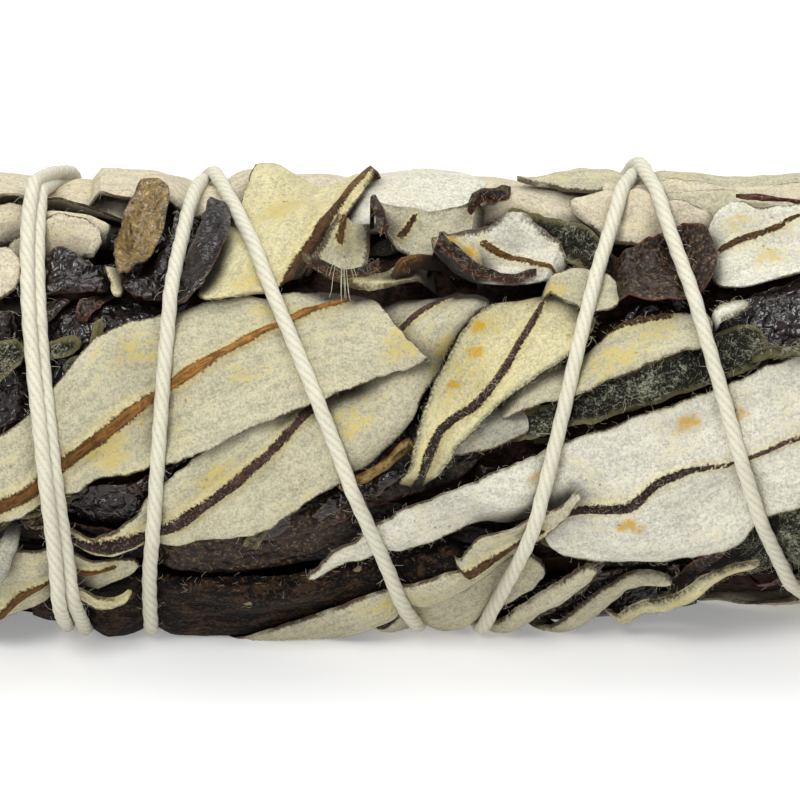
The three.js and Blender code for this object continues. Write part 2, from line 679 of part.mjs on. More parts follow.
// The overhand knot where the two ends of the string meet, and its two tails.
function knotRods(relief) {
  const cover = relief.widened(1);
  const [x, turn] = [STRING_STATIONS[0] + 0.9, STRING_FIRST_TURN];
  const seat = Relief.read(cover, x, turn) + CLEARANCE + 4 * STRING_RADIUS;
  const middle = pointAt(x, turn, seat);
  const outward = middle.clone().sub(pointAt(x, turn, 0)).normalize();
  const along = new THREE.Vector3(1, 0, 0);
  const around = outward.clone().cross(along);
  const loop = Array.from({ length: 3 * KNOT_STEPS + 1 }, (_, step) => {
    const t = (2 * Math.PI * step) / (3 * KNOT_STEPS);
    const point = middle
      .clone()
      .addScaledVector(along, KNOT_SCALE * (Math.sin(t) + 2 * Math.sin(2 * t)))
      .addScaledVector(around, KNOT_SCALE * (Math.cos(t) - 2 * Math.cos(2 * t)))
      .addScaledVector(outward, -KNOT_SCALE * Math.sin(3 * t));
    return { point, outward, radius: STRING_RADIUS };
  });
  const rods = rodSolids(loop, STRING_SIDES, KNOT_STEPS);
  for (const [reachX, reachTurn] of [[9, 22], [-4.6, -30]]) {
    const tail = Array.from({ length: 6 }, (_, step) => {
      const share = step / 5;
      const place = { x: x + reachX * share, turn: turn + reachTurn * share };
      const resting = Relief.read(cover, place.x, place.turn) + CLEARANCE + STRING_RADIUS;
      return { ...place, radius: Math.max(resting, THREE.MathUtils.lerp(seat, resting, share * 2)) };
    });
    rods.push(...stringRods(tail, 5, 0));
  }
  return rods;
}

// Lays every leaf, then makes one solid for the leaves of each sprig, clear of the leaves of the others.
function buildLeaves(relief) {
  const leaves = [...rankLeaves(), ...OUTER_LEAVES.map((edges) => new Leaf(edges))];
  for (const leaf of leaves) leaf.settle(relief);
  const blades = leaves.map((leaf) => leaf.solid(0));
  const cutters = leaves.map((leaf) => leaf.solid(CLEARANCE));
  return Array.from({ length: SPRIG_COUNT }, (_, sprig) => {
    const foreign = cutters.filter((_, index) => leaves[index].sprig !== sprig);
    const hole = solidOf(stemGeometry(sprig, CLEARANCE));
    const core = solidOf(coreGeometry(sprig)).subtract(solids.Manifold.union([hole, ...foreign]));
    const own = [mainBody(core)];
    leaves.forEach((leaf, index) => {
      if (leaf.sprig !== sprig) return;
      const above = cutters.filter((_, later) => later > index && leaves[later].sprig !== sprig);
      own.push(above.length ? blades[index].subtract(solids.Manifold.union(above)) : blades[index]);
    });
    return solids.Manifold.union(own);
  });
}

// Assembly.
const relief = new Relief();
const leafBodies = buildLeaves(relief);
const route = stringRoute(relief);
const stringBody = solids.Manifold.union([...stringRods(route, STRING_STEPS / 2, 0), ...knotRods(relief)]);
const groove = solids.Manifold.union(grooveRods(route));

function finishedMesh(name, geometry, colour, roughness) {
  geometry.computeVertexNormals();
  const material = new THREE.MeshStandardMaterial({ color: colour, roughness, metalness: 0 });
  const mesh = new THREE.Mesh(geometry, material);
  mesh.name = name;
  return mesh;
}

const bunch = new THREE.Group();
bunch.name = "sage_bunch";
leafBodies.forEach((body, sprig) => {
  const rested = body.subtract(groove).trimByPlane([0, 0, 1], 0);
  bunch.add(finishedMesh(`sprig_${sprig + 1}_leaves`, geometryOf(mainBody(rested)), COLOUR.pale, 0.95));
  const stem = stemGeometry(sprig, 0).toNonIndexed();
  bunch.add(finishedMesh(`sprig_${sprig + 1}_stem`, stem, COLOUR.stem, 0.8));
});
bunch.add(finishedMesh("string", geometryOf(mainBody(stringBody)), COLOUR.string, 0.9));

export default bunch;
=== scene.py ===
import logging
import math
from dataclasses import dataclass, field, replace
from enum import Enum
from typing import Callable, Iterator

import bpy
import numpy as np
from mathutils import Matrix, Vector


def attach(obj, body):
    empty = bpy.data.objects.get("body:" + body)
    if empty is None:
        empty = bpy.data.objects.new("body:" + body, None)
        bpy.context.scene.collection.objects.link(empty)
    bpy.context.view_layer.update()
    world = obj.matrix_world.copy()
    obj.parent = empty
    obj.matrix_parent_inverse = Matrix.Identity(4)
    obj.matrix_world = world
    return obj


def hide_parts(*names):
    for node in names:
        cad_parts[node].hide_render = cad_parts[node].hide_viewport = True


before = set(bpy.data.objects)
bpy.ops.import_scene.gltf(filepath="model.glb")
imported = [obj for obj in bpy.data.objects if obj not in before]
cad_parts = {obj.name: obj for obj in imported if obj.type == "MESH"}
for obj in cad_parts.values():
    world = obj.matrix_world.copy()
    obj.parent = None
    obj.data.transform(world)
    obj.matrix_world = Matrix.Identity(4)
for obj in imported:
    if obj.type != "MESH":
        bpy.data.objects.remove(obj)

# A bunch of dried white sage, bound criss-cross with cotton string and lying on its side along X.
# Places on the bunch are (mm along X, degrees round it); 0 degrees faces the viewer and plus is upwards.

Array = np.ndarray
Edge = tuple[tuple[float, float], ...]
Point = tuple[float, float, float]
Colour = tuple[float, float, float]
Span = tuple[float, float]
Marks = tuple[tuple[float, float, float], ...]
Material = bpy.types.Material
Object = bpy.types.Object
Socket = bpy.types.NodeSocket
Value = float | Colour | Socket

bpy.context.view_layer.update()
MM = 0.001
LOG = logging.getLogger("sage_bunch")
PLIES = 3
# Hairs on a square metre of the hairiest felt, and their sizes in mm.
HAIR_DENSITY = 2.8e7
HAIR_LENGTH = 0.42
HAIR_RADIUS = 0.0062
HAIR_SEED = 11
# So many of the outer leaves lie under the broken bits.
UNDER_LEAVES = 13
# Leaf ends farther out than this, in mm along the bunch, are outside the photo.
PHOTO_EDGE = 25.5
# What the finishes read at the corners of a mesh.
VALUE_NAMES = ("edge", "rib", "rib_run", "rib_tone", "run", "side", "stain", "spot", "shade", "fuzz")


def srgb(red: int, green: int, blue: int) -> Colour:
    """Turn a colour as a screen shows it into the linear values that a shader takes.

    Args:
        red: Red from 0 to 255.
        green: Green from 0 to 255.
        blue: Blue from 0 to 255.

    Returns:
        The three linear values.
    """
    shares = (channel / 255 for channel in (red, green, blue))
    return tuple(s / 12.92 if s < 0.04045 else ((s + 0.055) / 1.055) ** 2.4 for s in shares)


def bell(offset: Array) -> Array:
    """One at no offset, falling off smoothly to both sides."""
    return np.exp(-np.square(offset))


def signed_turn(turn: Array) -> Array:
    """The same direction as an angle from -180 to 180 degrees."""
    return np.mod(np.asarray(turn) + 180.0, 360.0) - 180.0


def catmull(points: Array, share: Array) -> Array:
    """Read a smooth line through evenly weighted points.

    Args:
        points: The points, one a row.
        share: Where to read it, from 0 at the first point to 1 at the last.

    Returns:
        A row for each share.
    """
    last = len(points) - 1
    place = np.clip(share, 0.0, 1.0) * last
    index = np.minimum(place.astype(int), last)
    part = (place - index)[:, None]
    before, here = points[np.maximum(index - 1, 0)], points[index]
    after, beyond = points[np.minimum(index + 1, last)], points[np.minimum(index + 2, last)]
    start, end = (after - before) / 2, (beyond - here) / 2
    cubic = (2 * here - 2 * after + start + end) * part**3
    return cubic + (3 * after - 3 * here - 2 * start - end) * part**2 + start * part + here


def seeded_numbers(seed: int) -> Iterator[float]:
    """Numbers from 0 to 1, the same as those that lay the leaves of the solid part.

    Args:
        seed: The first state.

    Yields:
        The next number.
    """
    full = 0xFFFFFFFF
    state = seed & full
    while True:
        state = (state + 0x6D2B79F5) & full
        mixed = ((state ^ (state >> 15)) * (state | 1)) & full
        mixed ^= (mixed + (((mixed ^ (mixed >> 7)) * (mixed | 61)) & full)) & full
        yield (mixed ^ (mixed >> 14)) / 4294967296


class Kind(Enum):
    """What a leaf's visible side is like."""

    PALE = 0
    DARK = 1
    FUZZY = 2
    STALK = 3
    TAN = 4
    BROWN = 5
    PACKED = 6
    HAIR = 7


class Rib(Enum):
    """The colour of a midrib, from light to dark."""

    OCHRE = 0.0
    BROWN = 0.45
    PURPLE = 1.0


class Tone(Enum):
    """The ground colour of a leaf."""

    WHITE = srgb(219, 216, 199)
    PALE = srgb(195, 189, 161)
    CREAM = srgb(211, 202, 160)
    BEIGE = srgb(211, 200, 174)
    GREY = srgb(168, 166, 150)
    DARK = srgb(33, 23, 21)
    BROWN = srgb(48, 33, 24)
    OLIVE = srgb(126, 101, 50)


@dataclass(frozen=True)
class Drawn:
    """One leaf as it is laid: its two edges from the sunk base to the free tip, and its looks."""

    lower: Edge
    upper: Edge
    kind: Kind = Kind.PALE
    tone: Tone = Tone.PALE
    rib: Edge = ()
    rib_colour: Rib = Rib.BROWN
    rib_width: float = 0.5
    stains: Marks = ()
    spots: Marks = ()
    fringe: float = 0.15
    crumple: float = 0.14
    curl: float = -0.1
    rim: float = 1.0
    lift: float = 0.7
    dome: float = 0.15
    thick: float = 0.4


# The outer leaves on the viewer's side, from the lowest layer to the highest.
# A stain or spot is (mm along, degrees round, mm wide).
OUTER_LEAVES: tuple[Drawn, ...] = (
    # Leaves under the others along the top and the bottom.
    *(
        Drawn(((x, 60), (x + 8, 80), (x + 15, 112)), ((x - 5, 72), (x - 1, 98), (x + 13, 118)),
              tone=Tone.BEIGE, lift=0.4, rim=1.3)
        for x in range(-36, 20, 10)
    ),
    Drawn(((-14, -116), (-4, -112), (8, -100), (16, -92)), ((-14, -84), (-4, -74), (8, -64), (16, -60)),
          Kind.DARK, Tone.BROWN),
    # Dark leaves low in the left, the middle and the right.
    Drawn(((-22, -37), (-16, -37), (-10, -30)), ((-22, -28), (-15, -22), (-9, -17)),
          Kind.DARK, Tone.DARK, crumple=0.3),
    Drawn(((-27, -12), (-21, 0), (-17, 14), (-12, 20)), ((-27, 20), (-21, 25), (-16, 29), (-12, 30)),
          Kind.DARK, Tone.DARK, crumple=0.3),
    Drawn(((-24, -58), (-15, -53), (-8, -55), (0, -44)), ((-24, -36), (-15, -37), (-8, -34), (1, -30)),
          Kind.BROWN, Tone.BROWN, crumple=0.25, fringe=0.1),
    Drawn(((-12, -42), (-6, -38), (-1, -30), (4, -24)), ((-12, -30), (-6, -26), (0, -8), (6, -6)),
          Kind.BROWN, Tone.BROWN, crumple=0.25, fringe=0.1),
    Drawn(((12, -68), (18, -64), (22, -59), (27, -52)), ((12, -44), (17, -41), (21, -35), (27, -22)),
          Kind.FUZZY, Tone.GREY, fringe=0.7),
    Drawn(((18, 4), (21, 8), (23, 11), (27, 12)), ((18, 22), (20.5, 28), (22, 32), (27, 38)),
          Kind.DARK, Tone.DARK, crumple=0.3),
    # The dark stalk along the bottom.
    Drawn(((-22, -100), (-14, -98), (-9, -94), (-4, -84), (0, -70), (4, -52)),
          ((-22, -60), (-14, -55), (-9, -53), (-5, -51.5), (-1, -48), (3.5, -41.5)),
          Kind.STALK, Tone.BROWN, spots=((-9, -60, 0.3), (-2.5, -52, 0.3)), crumple=0.12, curl=0.0, lift=1.7,
          dome=0.85, fringe=0.3),
    # Pale leaves at the top, from left to right.
    Drawn(((-30, 57), (-25, 58), (-21.5, 58.5)), ((-30, 63), (-25, 64), (-21.5, 61.5)),
          tone=Tone.BEIGE, dome=0.7, lift=1.6),
    Drawn(((-28, 48), (-22, 50), (-17.2, 49)), ((-28, 56), (-22, 58), (-17.2, 54)),
          tone=Tone.BEIGE, dome=0.6, lift=1.9),
    Drawn(((-24, 38), (-21.5, 41), (-18, 43)), ((-24, 45), (-20.5, 52.5), (-17.5, 48)),
          tone=Tone.BEIGE, stains=((-19, 42, 0.7),)),
    Drawn(((-30, 57), (-22, 58), (-14, 62)), ((-30, 84), (-22, 86), (-14, 84)), tone=Tone.BEIGE),
    Drawn(((-20, 64), (-14, 66), (-7, 70)), ((-20, 92), (-14, 93), (-7, 88)), tone=Tone.BEIGE),
    Drawn(((-4, 52), (0, 56), (6.5, 60)), ((-4, 90), (1, 90), (6.5, 78)),
          tone=Tone.WHITE, crumple=0.05, dome=0.3, lift=0.9),
    Drawn(((20, 58), (12, 58), (5, 60)), ((20, 84), (12, 85), (5, 78)), tone=Tone.BEIGE, crumple=0.25),
    Drawn(((4, 56), (8, 55.5), (11.5, 57)), ((4, 66), (8, 67), (11.5, 63)),
          tone=Tone.BEIGE, dome=0.7, lift=0.9),
    Drawn(((29, 82), (20, 75), (12, 73), (7, 76)), ((29, 96), (20, 88), (12, 83), (7, 77)),
          dome=0.4, lift=0.45),
    Drawn(((29, 66), (21, 62), (12, 67)), ((29, 82), (21, 76), (12, 72)),
          tone=Tone.BEIGE, dome=0.4, lift=0.45),
    Drawn(((27, 57), (20, 59), (14.5, 61)), ((27, 66), (20, 68), (14.5, 67)), dome=0.4, lift=0.45),
    Drawn(((19.5, 49), (16, 48), (13, 50), (10, 57)), ((20, 56), (16.5, 61), (13, 66), (10.2, 63)),
          tone=Tone.BEIGE, crumple=0.12, dome=0.3, lift=0.8),
    Drawn(((27, 50), (23, 52), (19, 51)), ((27, 60), (22, 61), (18.5, 57)), tone=Tone.BEIGE, dome=0.5),
    Drawn(((27, 58), (23, 59), (20, 58.5)), ((27, 60.5), (23, 61), (20, 59.5)),
          Kind.BROWN, Tone.BROWN, crumple=0.3, fringe=0.4),
    # Bottom left: a pale leaf and its torn neighbour.
    Drawn(((-28, -76), (-23, -67), (-19, -58), (-15.5, -52)),
          ((-28, -52), (-23, -45), (-19, -45), (-15.5, -47.5)),
          rib=((-24, -67), (-22, -57), (-20, -52), (-17, -48.5)), rib_colour=Rib.OCHRE, rib_width=0.4),
    Drawn(((-21, -60), (-19.5, -58), (-17.2, -61), (-16, -57)),
          ((-21, -55), (-19, -52.5), (-17.4, -56.5), (-15.9, -54)),
          tone=Tone.CREAM, stains=((-17, -57, 0.9),), crumple=0.35, curl=0.2, rim=1.8, lift=0.5),
    # Pale strips along the bottom, lowest first.
    Drawn(((-1, -102), (4, -82), (7, -68), (9, -57)), ((-3, -82), (1.5, -69), (4, -62), (8, -49)),
          lift=0.6, dome=0.5),
    Drawn(((-13, -114), (-7, -90), (0, -70), (4, -60), (6, -54), (9.5, -38)),
          ((-15, -101), (-9, -79), (-2, -62), (2, -51.5), (6, -43.5), (9.3, -33)),
          rib=((3, -47), (6, -43), (8, -38)), rib_width=0.3, stains=((0, -62, 2.5), (5, -50, 1.5)), rim=1.2,
          lift=0.45, dome=0.4),
    # The second long leaf, seen on both sides of the broad one.
    Drawn(((-23, -43.5), (-14, -41), (-8, -33), (-4, -23), (0, -8), (2.5, 10), (5, 26), (6, 33)),
          ((-23, -39), (-17, -36.5), (-14.5, -25), (-11.5, -13), (-7, 2), (-3, 20), (1, 34)),
          rib=((-22, -41.5), (-16, -38.5), (-14, -35), (-11, -26), (-8, -15), (-5, -1), (0, 19), (2.8, 30),
               (3.5, 33)),
          rib_colour=Rib.PURPLE, stains=((-11, -20, 1.6), (-3, -6, 2), (3, 14, 2.0))),
    Drawn(((-4.2, -25), (-1.6, -19), (1, -12.5)), ((-4.2, -23), (-1.8, -16.4), (0.8, -9)),
          Kind.BROWN, Tone.OLIVE, crumple=0.15, dome=0.8, fringe=0.1, rim=0.3),
    Drawn(((-22.2, -38), (-23, -46), (-23.6, -53)), ((-23.2, -37.5), (-24.4, -45), (-24.6, -52)),
          tone=Tone.GREY, dome=0.6),
    # Middle right: small grey leaf, dark hairy band, pale leaf above it.
    Drawn(((2, -16), (5, -13), (8, -8.5)), ((2.6, -8), (5.5, -2), (8.2, -3)),
          tone=Tone.GREY, fringe=0.5, rim=1.2),
    Drawn(((6.5, -11), (11, -7), (15, -1), (18.5, 5), (22, 9)),
          ((6.5, -4), (11, 3), (14, 8), (18, 17), (21.5, 21)),
          Kind.FUZZY, Tone.GREY, fringe=1.0, crumple=0.25),
    Drawn(((5, -8), (8, -2), (10.5, 1), (13, 6), (15.5, 10), (18.5, 14)),
          ((5.5, -1), (8.5, 8), (11, 14), (13, 20), (15.5, 23), (18.5, 25)),
          rib=((10.5, 15.5), (12, 19), (16, 23)), rib_width=0.45, stains=((12, 10, 2.5), (15, 18, 1.5)),
          fringe=0.6, rim=1.3),
    # The broad leaf on the left.
    Drawn(((-26, -38), (-22, -29), (-17, -21), (-12, -14), (-8, -6), (-4, 1), (0, 7), (1.7, 10)),
          ((-26, -16), (-22, -4), (-18, 15), (-14.5, 23), (-7, 31), (-2.4, 31), (0, 19), (1.7, 11)),
          rib=((-25, -30), (-22, -23), (-20, -17), (-15.5, -2), (-11, 11), (-7, 21), (-3, 29)),
          rib_colour=Rib.OCHRE, rib_width=0.55,
          stains=((-16, 12, 2.2), (0, 13, 2.0), (-17, -12, 2.0), (-8, 25, 1.6), (-9, 6, 1.4))),
    # The narrow leaf with the dark hairy rib.
    Drawn(((0.5, -30), (2, -22), (3.5, -12), (5.5, -3), (8, 6), (10.5, 14), (12.5, 27)),
          ((0, -29), (0.2, -20), (1, -8), (2, 3), (3, 12), (4.5, 22), (6.5, 31)), tone=Tone.CREAM,
          rib=((0.8, -28), (1.6, -15), (2.5, -7), (4.5, -1), (6, 7), (7.2, 16), (8.5, 27)),
          rib_colour=Rib.PURPLE, rib_width=0.4, stains=((4, 10, 2.0), (5, 20, 2.0), (3, 2, 1.2)),
          spots=((4.4, 12.5, 0.7), (4.4, 19, 0.9), (3.2, 4, 0.6)), fringe=0.9, rim=0.8),
    # Small curled leaves low on the right.
    Drawn(((4.5, -98), (9, -71), (12, -53)), ((3.2, -92), (8, -64), (11.3, -51)),
          fringe=0.4, curl=-0.2, dome=0.5),
    Drawn(((8, -97), (13, -71), (16.4, -57)), ((6.9, -91), (12.3, -64), (15.8, -54.5)),
          fringe=0.4, curl=-0.2, dome=0.5),
    Drawn(((15.2, -78), (16.6, -73), (18.2, -66)), ((15, -70), (16.2, -64), (17.8, -62)),
          tone=Tone.CREAM, stains=((16.5, -69, 1.5),), fringe=0.4, dome=0.5),
    Drawn(((12, -86), (18, -61), (21.5, -51)), ((11.6, -80), (17.6, -56), (21, -48.5)),
          tone=Tone.CREAM, stains=((16.5, -62, 1.2), (20, -53, 1.2)), fringe=0.8, rim=0.8, dome=0.4),
    # The big pale leaf low on the right, and the rolled tip that lies on it.
    Drawn(((27, -20), (22, -33), (20, -41), (17, -46), (13, -48), (9.5, -46), (7.5, -36), (2, -39.5),
           (-5.5, -50.5)),
          ((27, 17), (20, 5), (16, -2), (12, -8), (8, -14.5), (4, -22), (0, -30), (-3, -40), (-5.5, -50)),
          tone=Tone.WHITE,
          rib=((8.5, -35), (11, -30.5), (13.5, -28), (15, -22), (17, -18.5), (20, -16), (22, -12), (25, -8)),
          rib_colour=Rib.PURPLE, rib_width=0.38,
          spots=((13.5, -33, 0.9), (17, -6, 1.1), (8, -20, 0.6), (20, -4, 0.8), (14.2, -34, 0.6)),
          fringe=0.55),
    Drawn(((2.4, -50), (5, -47), (7, -43), (8.6, -38), (10.7, -23.5)),
          ((2.6, -48), (4.2, -40), (7, -33), (8.6, -29.5), (10.3, -23)),
          rib=((2.5, -48), (4, -46), (6, -43), (7.5, -39), (8.5, -35)), rib_width=0.35, curl=0.15),
    Drawn(((18.6, 18), (20, 21), (20.8, 24)), ((18.2, 22), (19.4, 25), (20.6, 26.5)),
          tone=Tone.WHITE, fringe=1.0, crumple=0.3),
    Drawn(((20.5, 8.5), (22, 9.5), (24, 11.5)), ((20.5, 12), (22, 14), (24, 13.5)),
          Kind.FUZZY, Tone.GREY, dome=0.8, lift=1.1, fringe=0.5),
    # Dark crinkled leaves top left.
    Drawn(((-24, 28), (-20, 30), (-17, 30)), ((-24, 36), (-20, 42.5), (-17.2, 37)),
          Kind.DARK, Tone.DARK, crumple=0.3, curl=-0.3, dome=0.3),
    Drawn(((-30, 21), (-25, 24), (-22.6, 29)), ((-30, 40), (-25, 43), (-22.3, 39)),
          tone=Tone.BEIGE, dome=0.4),
    Drawn(((-27, -6), (-24, 3), (-22, 11)), ((-27, 7), (-24, 14), (-22.4, 16)),
          Kind.FUZZY, Tone.GREY, fringe=1.0),
    Drawn(((-17.5, 39), (-17.3, 33), (-16.8, 27)), ((-17, 39), (-16.5, 34), (-16.4, 28)),
          tone=Tone.CREAM, fringe=0.0),
    Drawn(((-11.8, 68), (-12.2, 52), (-12.8, 40), (-14, 26)),
          ((-13, 69), (-13.8, 55), (-15, 40), (-16.8, 28)),
          Kind.DARK, Tone.DARK, crumple=0.25, curl=-0.2, dome=0.4, lift=0.8, fringe=0.0),
    Drawn(((-14.1, 71), (-13.6, 62), (-14.1, 51), (-14.9, 41), (-16.3, 32)),
          ((-14.4, 72), (-15.6, 64), (-16.5, 52), (-17.1, 41), (-16.8, 32)),
          Kind.TAN, Tone.OLIVE, crumple=0.3, curl=0.15, dome=0.25, lift=0.8, fringe=0.0),
    # The yellowish leaf at the top and the dark leaf on its edge.
    Drawn(((-8, 92), (-9, 75), (-10.2, 60), (-10.8, 45), (-12, 30), (-13.2, 24)),
          ((-0.8, 90), (-1.6, 75), (-2.8, 62), (-4.2, 50), (-5.3, 38), (-6.8, 30.5)), tone=Tone.CREAM,
          rib=((-6.8, 31), (-5.9, 40), (-4.8, 50), (-3.6, 62), (-2.4, 74), (-1, 88)),
          stains=((-9, 32, 2.0), (-7, 60, 2.5), (-9, 48, 1.5)), crumple=0.2),
    Drawn(((-10.8, 71), (-10.1, 54), (-10.5, 42), (-11.3, 32), (-12.8, 23.5)),
          ((-11, 71), (-11.9, 52), (-12.6, 40), (-13.5, 25)),
          Kind.DARK, Tone.DARK, crumple=0.3, curl=0.1, dome=0.2, lift=0.8, fringe=0.0),
    # The crumpled leaf ends at the top of the middle.
    Drawn(((-3.4, 56), (-4.3, 46), (-5, 37)), ((-1.8, 55), (-1.8, 46), (-2, 38)),
          rib=((-3.6, 46), (-3.1, 55)), rib_colour=Rib.OCHRE, rib_width=0.35, crumple=0.35, curl=0.3,
          rim=2.6),
    Drawn(((4.8, 53), (3.2, 46), (0, 46), (-1.5, 51)), ((5.8, 59), (3, 59), (0, 57), (-2, 56)),
          rib=((0, 50), (1, 56)), rib_width=0.25, crumple=0.35, curl=0.35, rim=2.6),
    Drawn(((2.2, 37), (0.8, 33), (-2, 29.5), (-4, 31), (-5.7, 35)),
          ((2, 45), (0, 39), (-2, 34), (-4, 33.8), (-5.9, 37)),
          tone=Tone.CREAM, stains=((-3, 32, 0.9),), crumple=0.35, curl=0.45, rim=3.0, lift=1.3, dome=0.4),
    Drawn(((-0.8, 31.5), (2, 38), (4.7, 44)), ((-1, 34), (1.6, 41), (4.7, 46.8)), tone=Tone.CREAM,
          rib=((-0.8, 33), (1.8, 39.5), (4.7, 45.5)), rib_colour=Rib.OCHRE, dome=0.8, lift=1.0,
          crumple=0.2),
    Drawn(((12.5, 36), (10.5, 38), (9, 43), (7.2, 50)), ((13, 47), (10.5, 53), (8, 56), (6, 57)),
          Kind.FUZZY, Tone.GREY, ((7.8, 51), (9, 47), (10.5, 42), (11.5, 39.5)), Rib.PURPLE, 0.35, fringe=0.6,
          crumple=0.3),
    Drawn(((9.8, 33), (8, 30.5), (5, 30.5), (3, 35), (1.8, 40)),
          ((10.2, 38), (9.5, 44), (7, 52), (4.5, 47.5), (2, 44)),
          tone=Tone.WHITE, rib=((5, 45), (7, 42), (9.3, 35)), rib_colour=Rib.OCHRE, rib_width=0.3,
          stains=((3, 41, 1.2), (4.5, 35, 1.2)), crumple=0.3, curl=0.35, rim=3.0),
    Drawn(((4.9, 32.5), (3.2, 35), (2.2, 39)), ((5.1, 36), (4, 40), (2.4, 41.5)),
          tone=Tone.CREAM, spots=((3.9, 37, 0.9), (2.9, 39, 0.6)), crumple=0.2, curl=0.2, rim=2.6),
    # Brown rolled edges of the crumpled leaves.
    *(
        Drawn(lower, tuple((x, turn + 1.8) for x, turn in lower), Kind.BROWN, Tone.BROWN,
              crumple=0.25, dome=0.8, fringe=0.6, rim=0.2)
        for lower in (
            ((-5.9, 35.5), (-3.5, 30.6), (-1.2, 33)),
            ((1.6, 41), (3.8, 32.3), (5.8, 30.6), (8.1, 32.3)),
            ((3.8, 55), (5.2, 58.5), (6.6, 61)),
        )
    ),
    Drawn(((-1.9, 56), (-1.6, 51), (-1.2, 46)), ((-1.3, 56.5), (-0.9, 51), (-0.7, 47)),
          Kind.BROWN, Tone.BROWN, crumple=0.25, lift=0.5, fringe=0.6, rim=0.2),
    # Top right: square ended leaf, dark felted leaf, pale leaf.
    Drawn(((8, 27.5), (10, 26), (13.2, 23)), ((8.2, 30), (10, 34.5), (13, 36.5)),
          stains=((9, 29, 1.2),), crumple=0.2),
    Drawn(((27, 40), (22, 33), (18.5, 28)), ((27, 59), (22, 55.5), (17.5, 53)), tone=Tone.WHITE,
          rib=((19, 44), (21, 48), (24, 54)), rib_width=0.25, stains=((20, 50, 1.2), (22, 42, 1.6)),
          crumple=0.2),
    Drawn(((12.4, 26), (15, 25), (17, 26), (18.8, 30)), ((12.4, 40), (14, 45), (16.5, 51), (18.8, 46)),
          Kind.BROWN, Tone.BROWN, fringe=0.0, crumple=0.25, curl=0.1, dome=0.2, lift=0.8),
)

# The string's place along the bunch at each quarter turn, from the knot to the leaf tips and back.
# Each line is one turn: behind, underneath, low on the viewer's side, high on the viewer's side.
STRING_STATIONS: tuple[float, ...] = (
    -44.2, -44.0, -43.7, -43.4,
    -43.1, -42.9, -42.6, -42.3,
    -42.0, -41.0, -39.6, -36.0,
    -28.5, -16.2, -14.8, -13.1,
    -9.5, 0.5, 7.2, 12.2,
    17.0, 24.5, 30.5, 35.0,
    39.0, 41.0, 41.8, 42.2,
    42.6, 42.8, 42.7, 42.3,
    41.6, 40.8, 39.6, 37.5,
    33.0, 27.5, 22.1, 16.3,
    11.5, 4.0, -1.0, -8.7,
    -13.0, -17.0, -19.7, -21.5,
    -19.5, -19.4, -20.4, -22.1,
    -19.4, -26.0, -31.0, -35.5,
    -38.8, -40.6, -41.2, -41.4,
)


class Noise:
    """Smooth noise on a plane, the same on every run."""

    SIZE = 64

    def __init__(self, seed: int) -> None:
        """Draw the values of the grid."""
        self.table = np.random.default_rng(seed).uniform(-1.0, 1.0, (self.SIZE, self.SIZE))

    def at(self, x: Array, y: Array, size: float) -> Array:
        """Read the noise.

        Args:
            x: First coordinate.
            y: Second coordinate.
            size: How far apart its bumps are.

        Returns:
            Values from -1 to 1.
        """
        u, v = np.asarray(x) / size, np.asarray(y) / size
        i, j = np.floor(u).astype(int), np.floor(v).astype(int)
        f, g = u - i, v - j
        f, g = f * f * (3 - 2 * f), g * g * (3 - 2 * g)
        i, j, k, m = i % self.SIZE, j % self.SIZE, (i + 1) % self.SIZE, (j + 1) % self.SIZE
        near = self.table[i, j] * (1 - g) + self.table[i, m] * g
        far = self.table[k, j] * (1 - g) + self.table[k, m] * g
        return near * (1 - f) + far * f


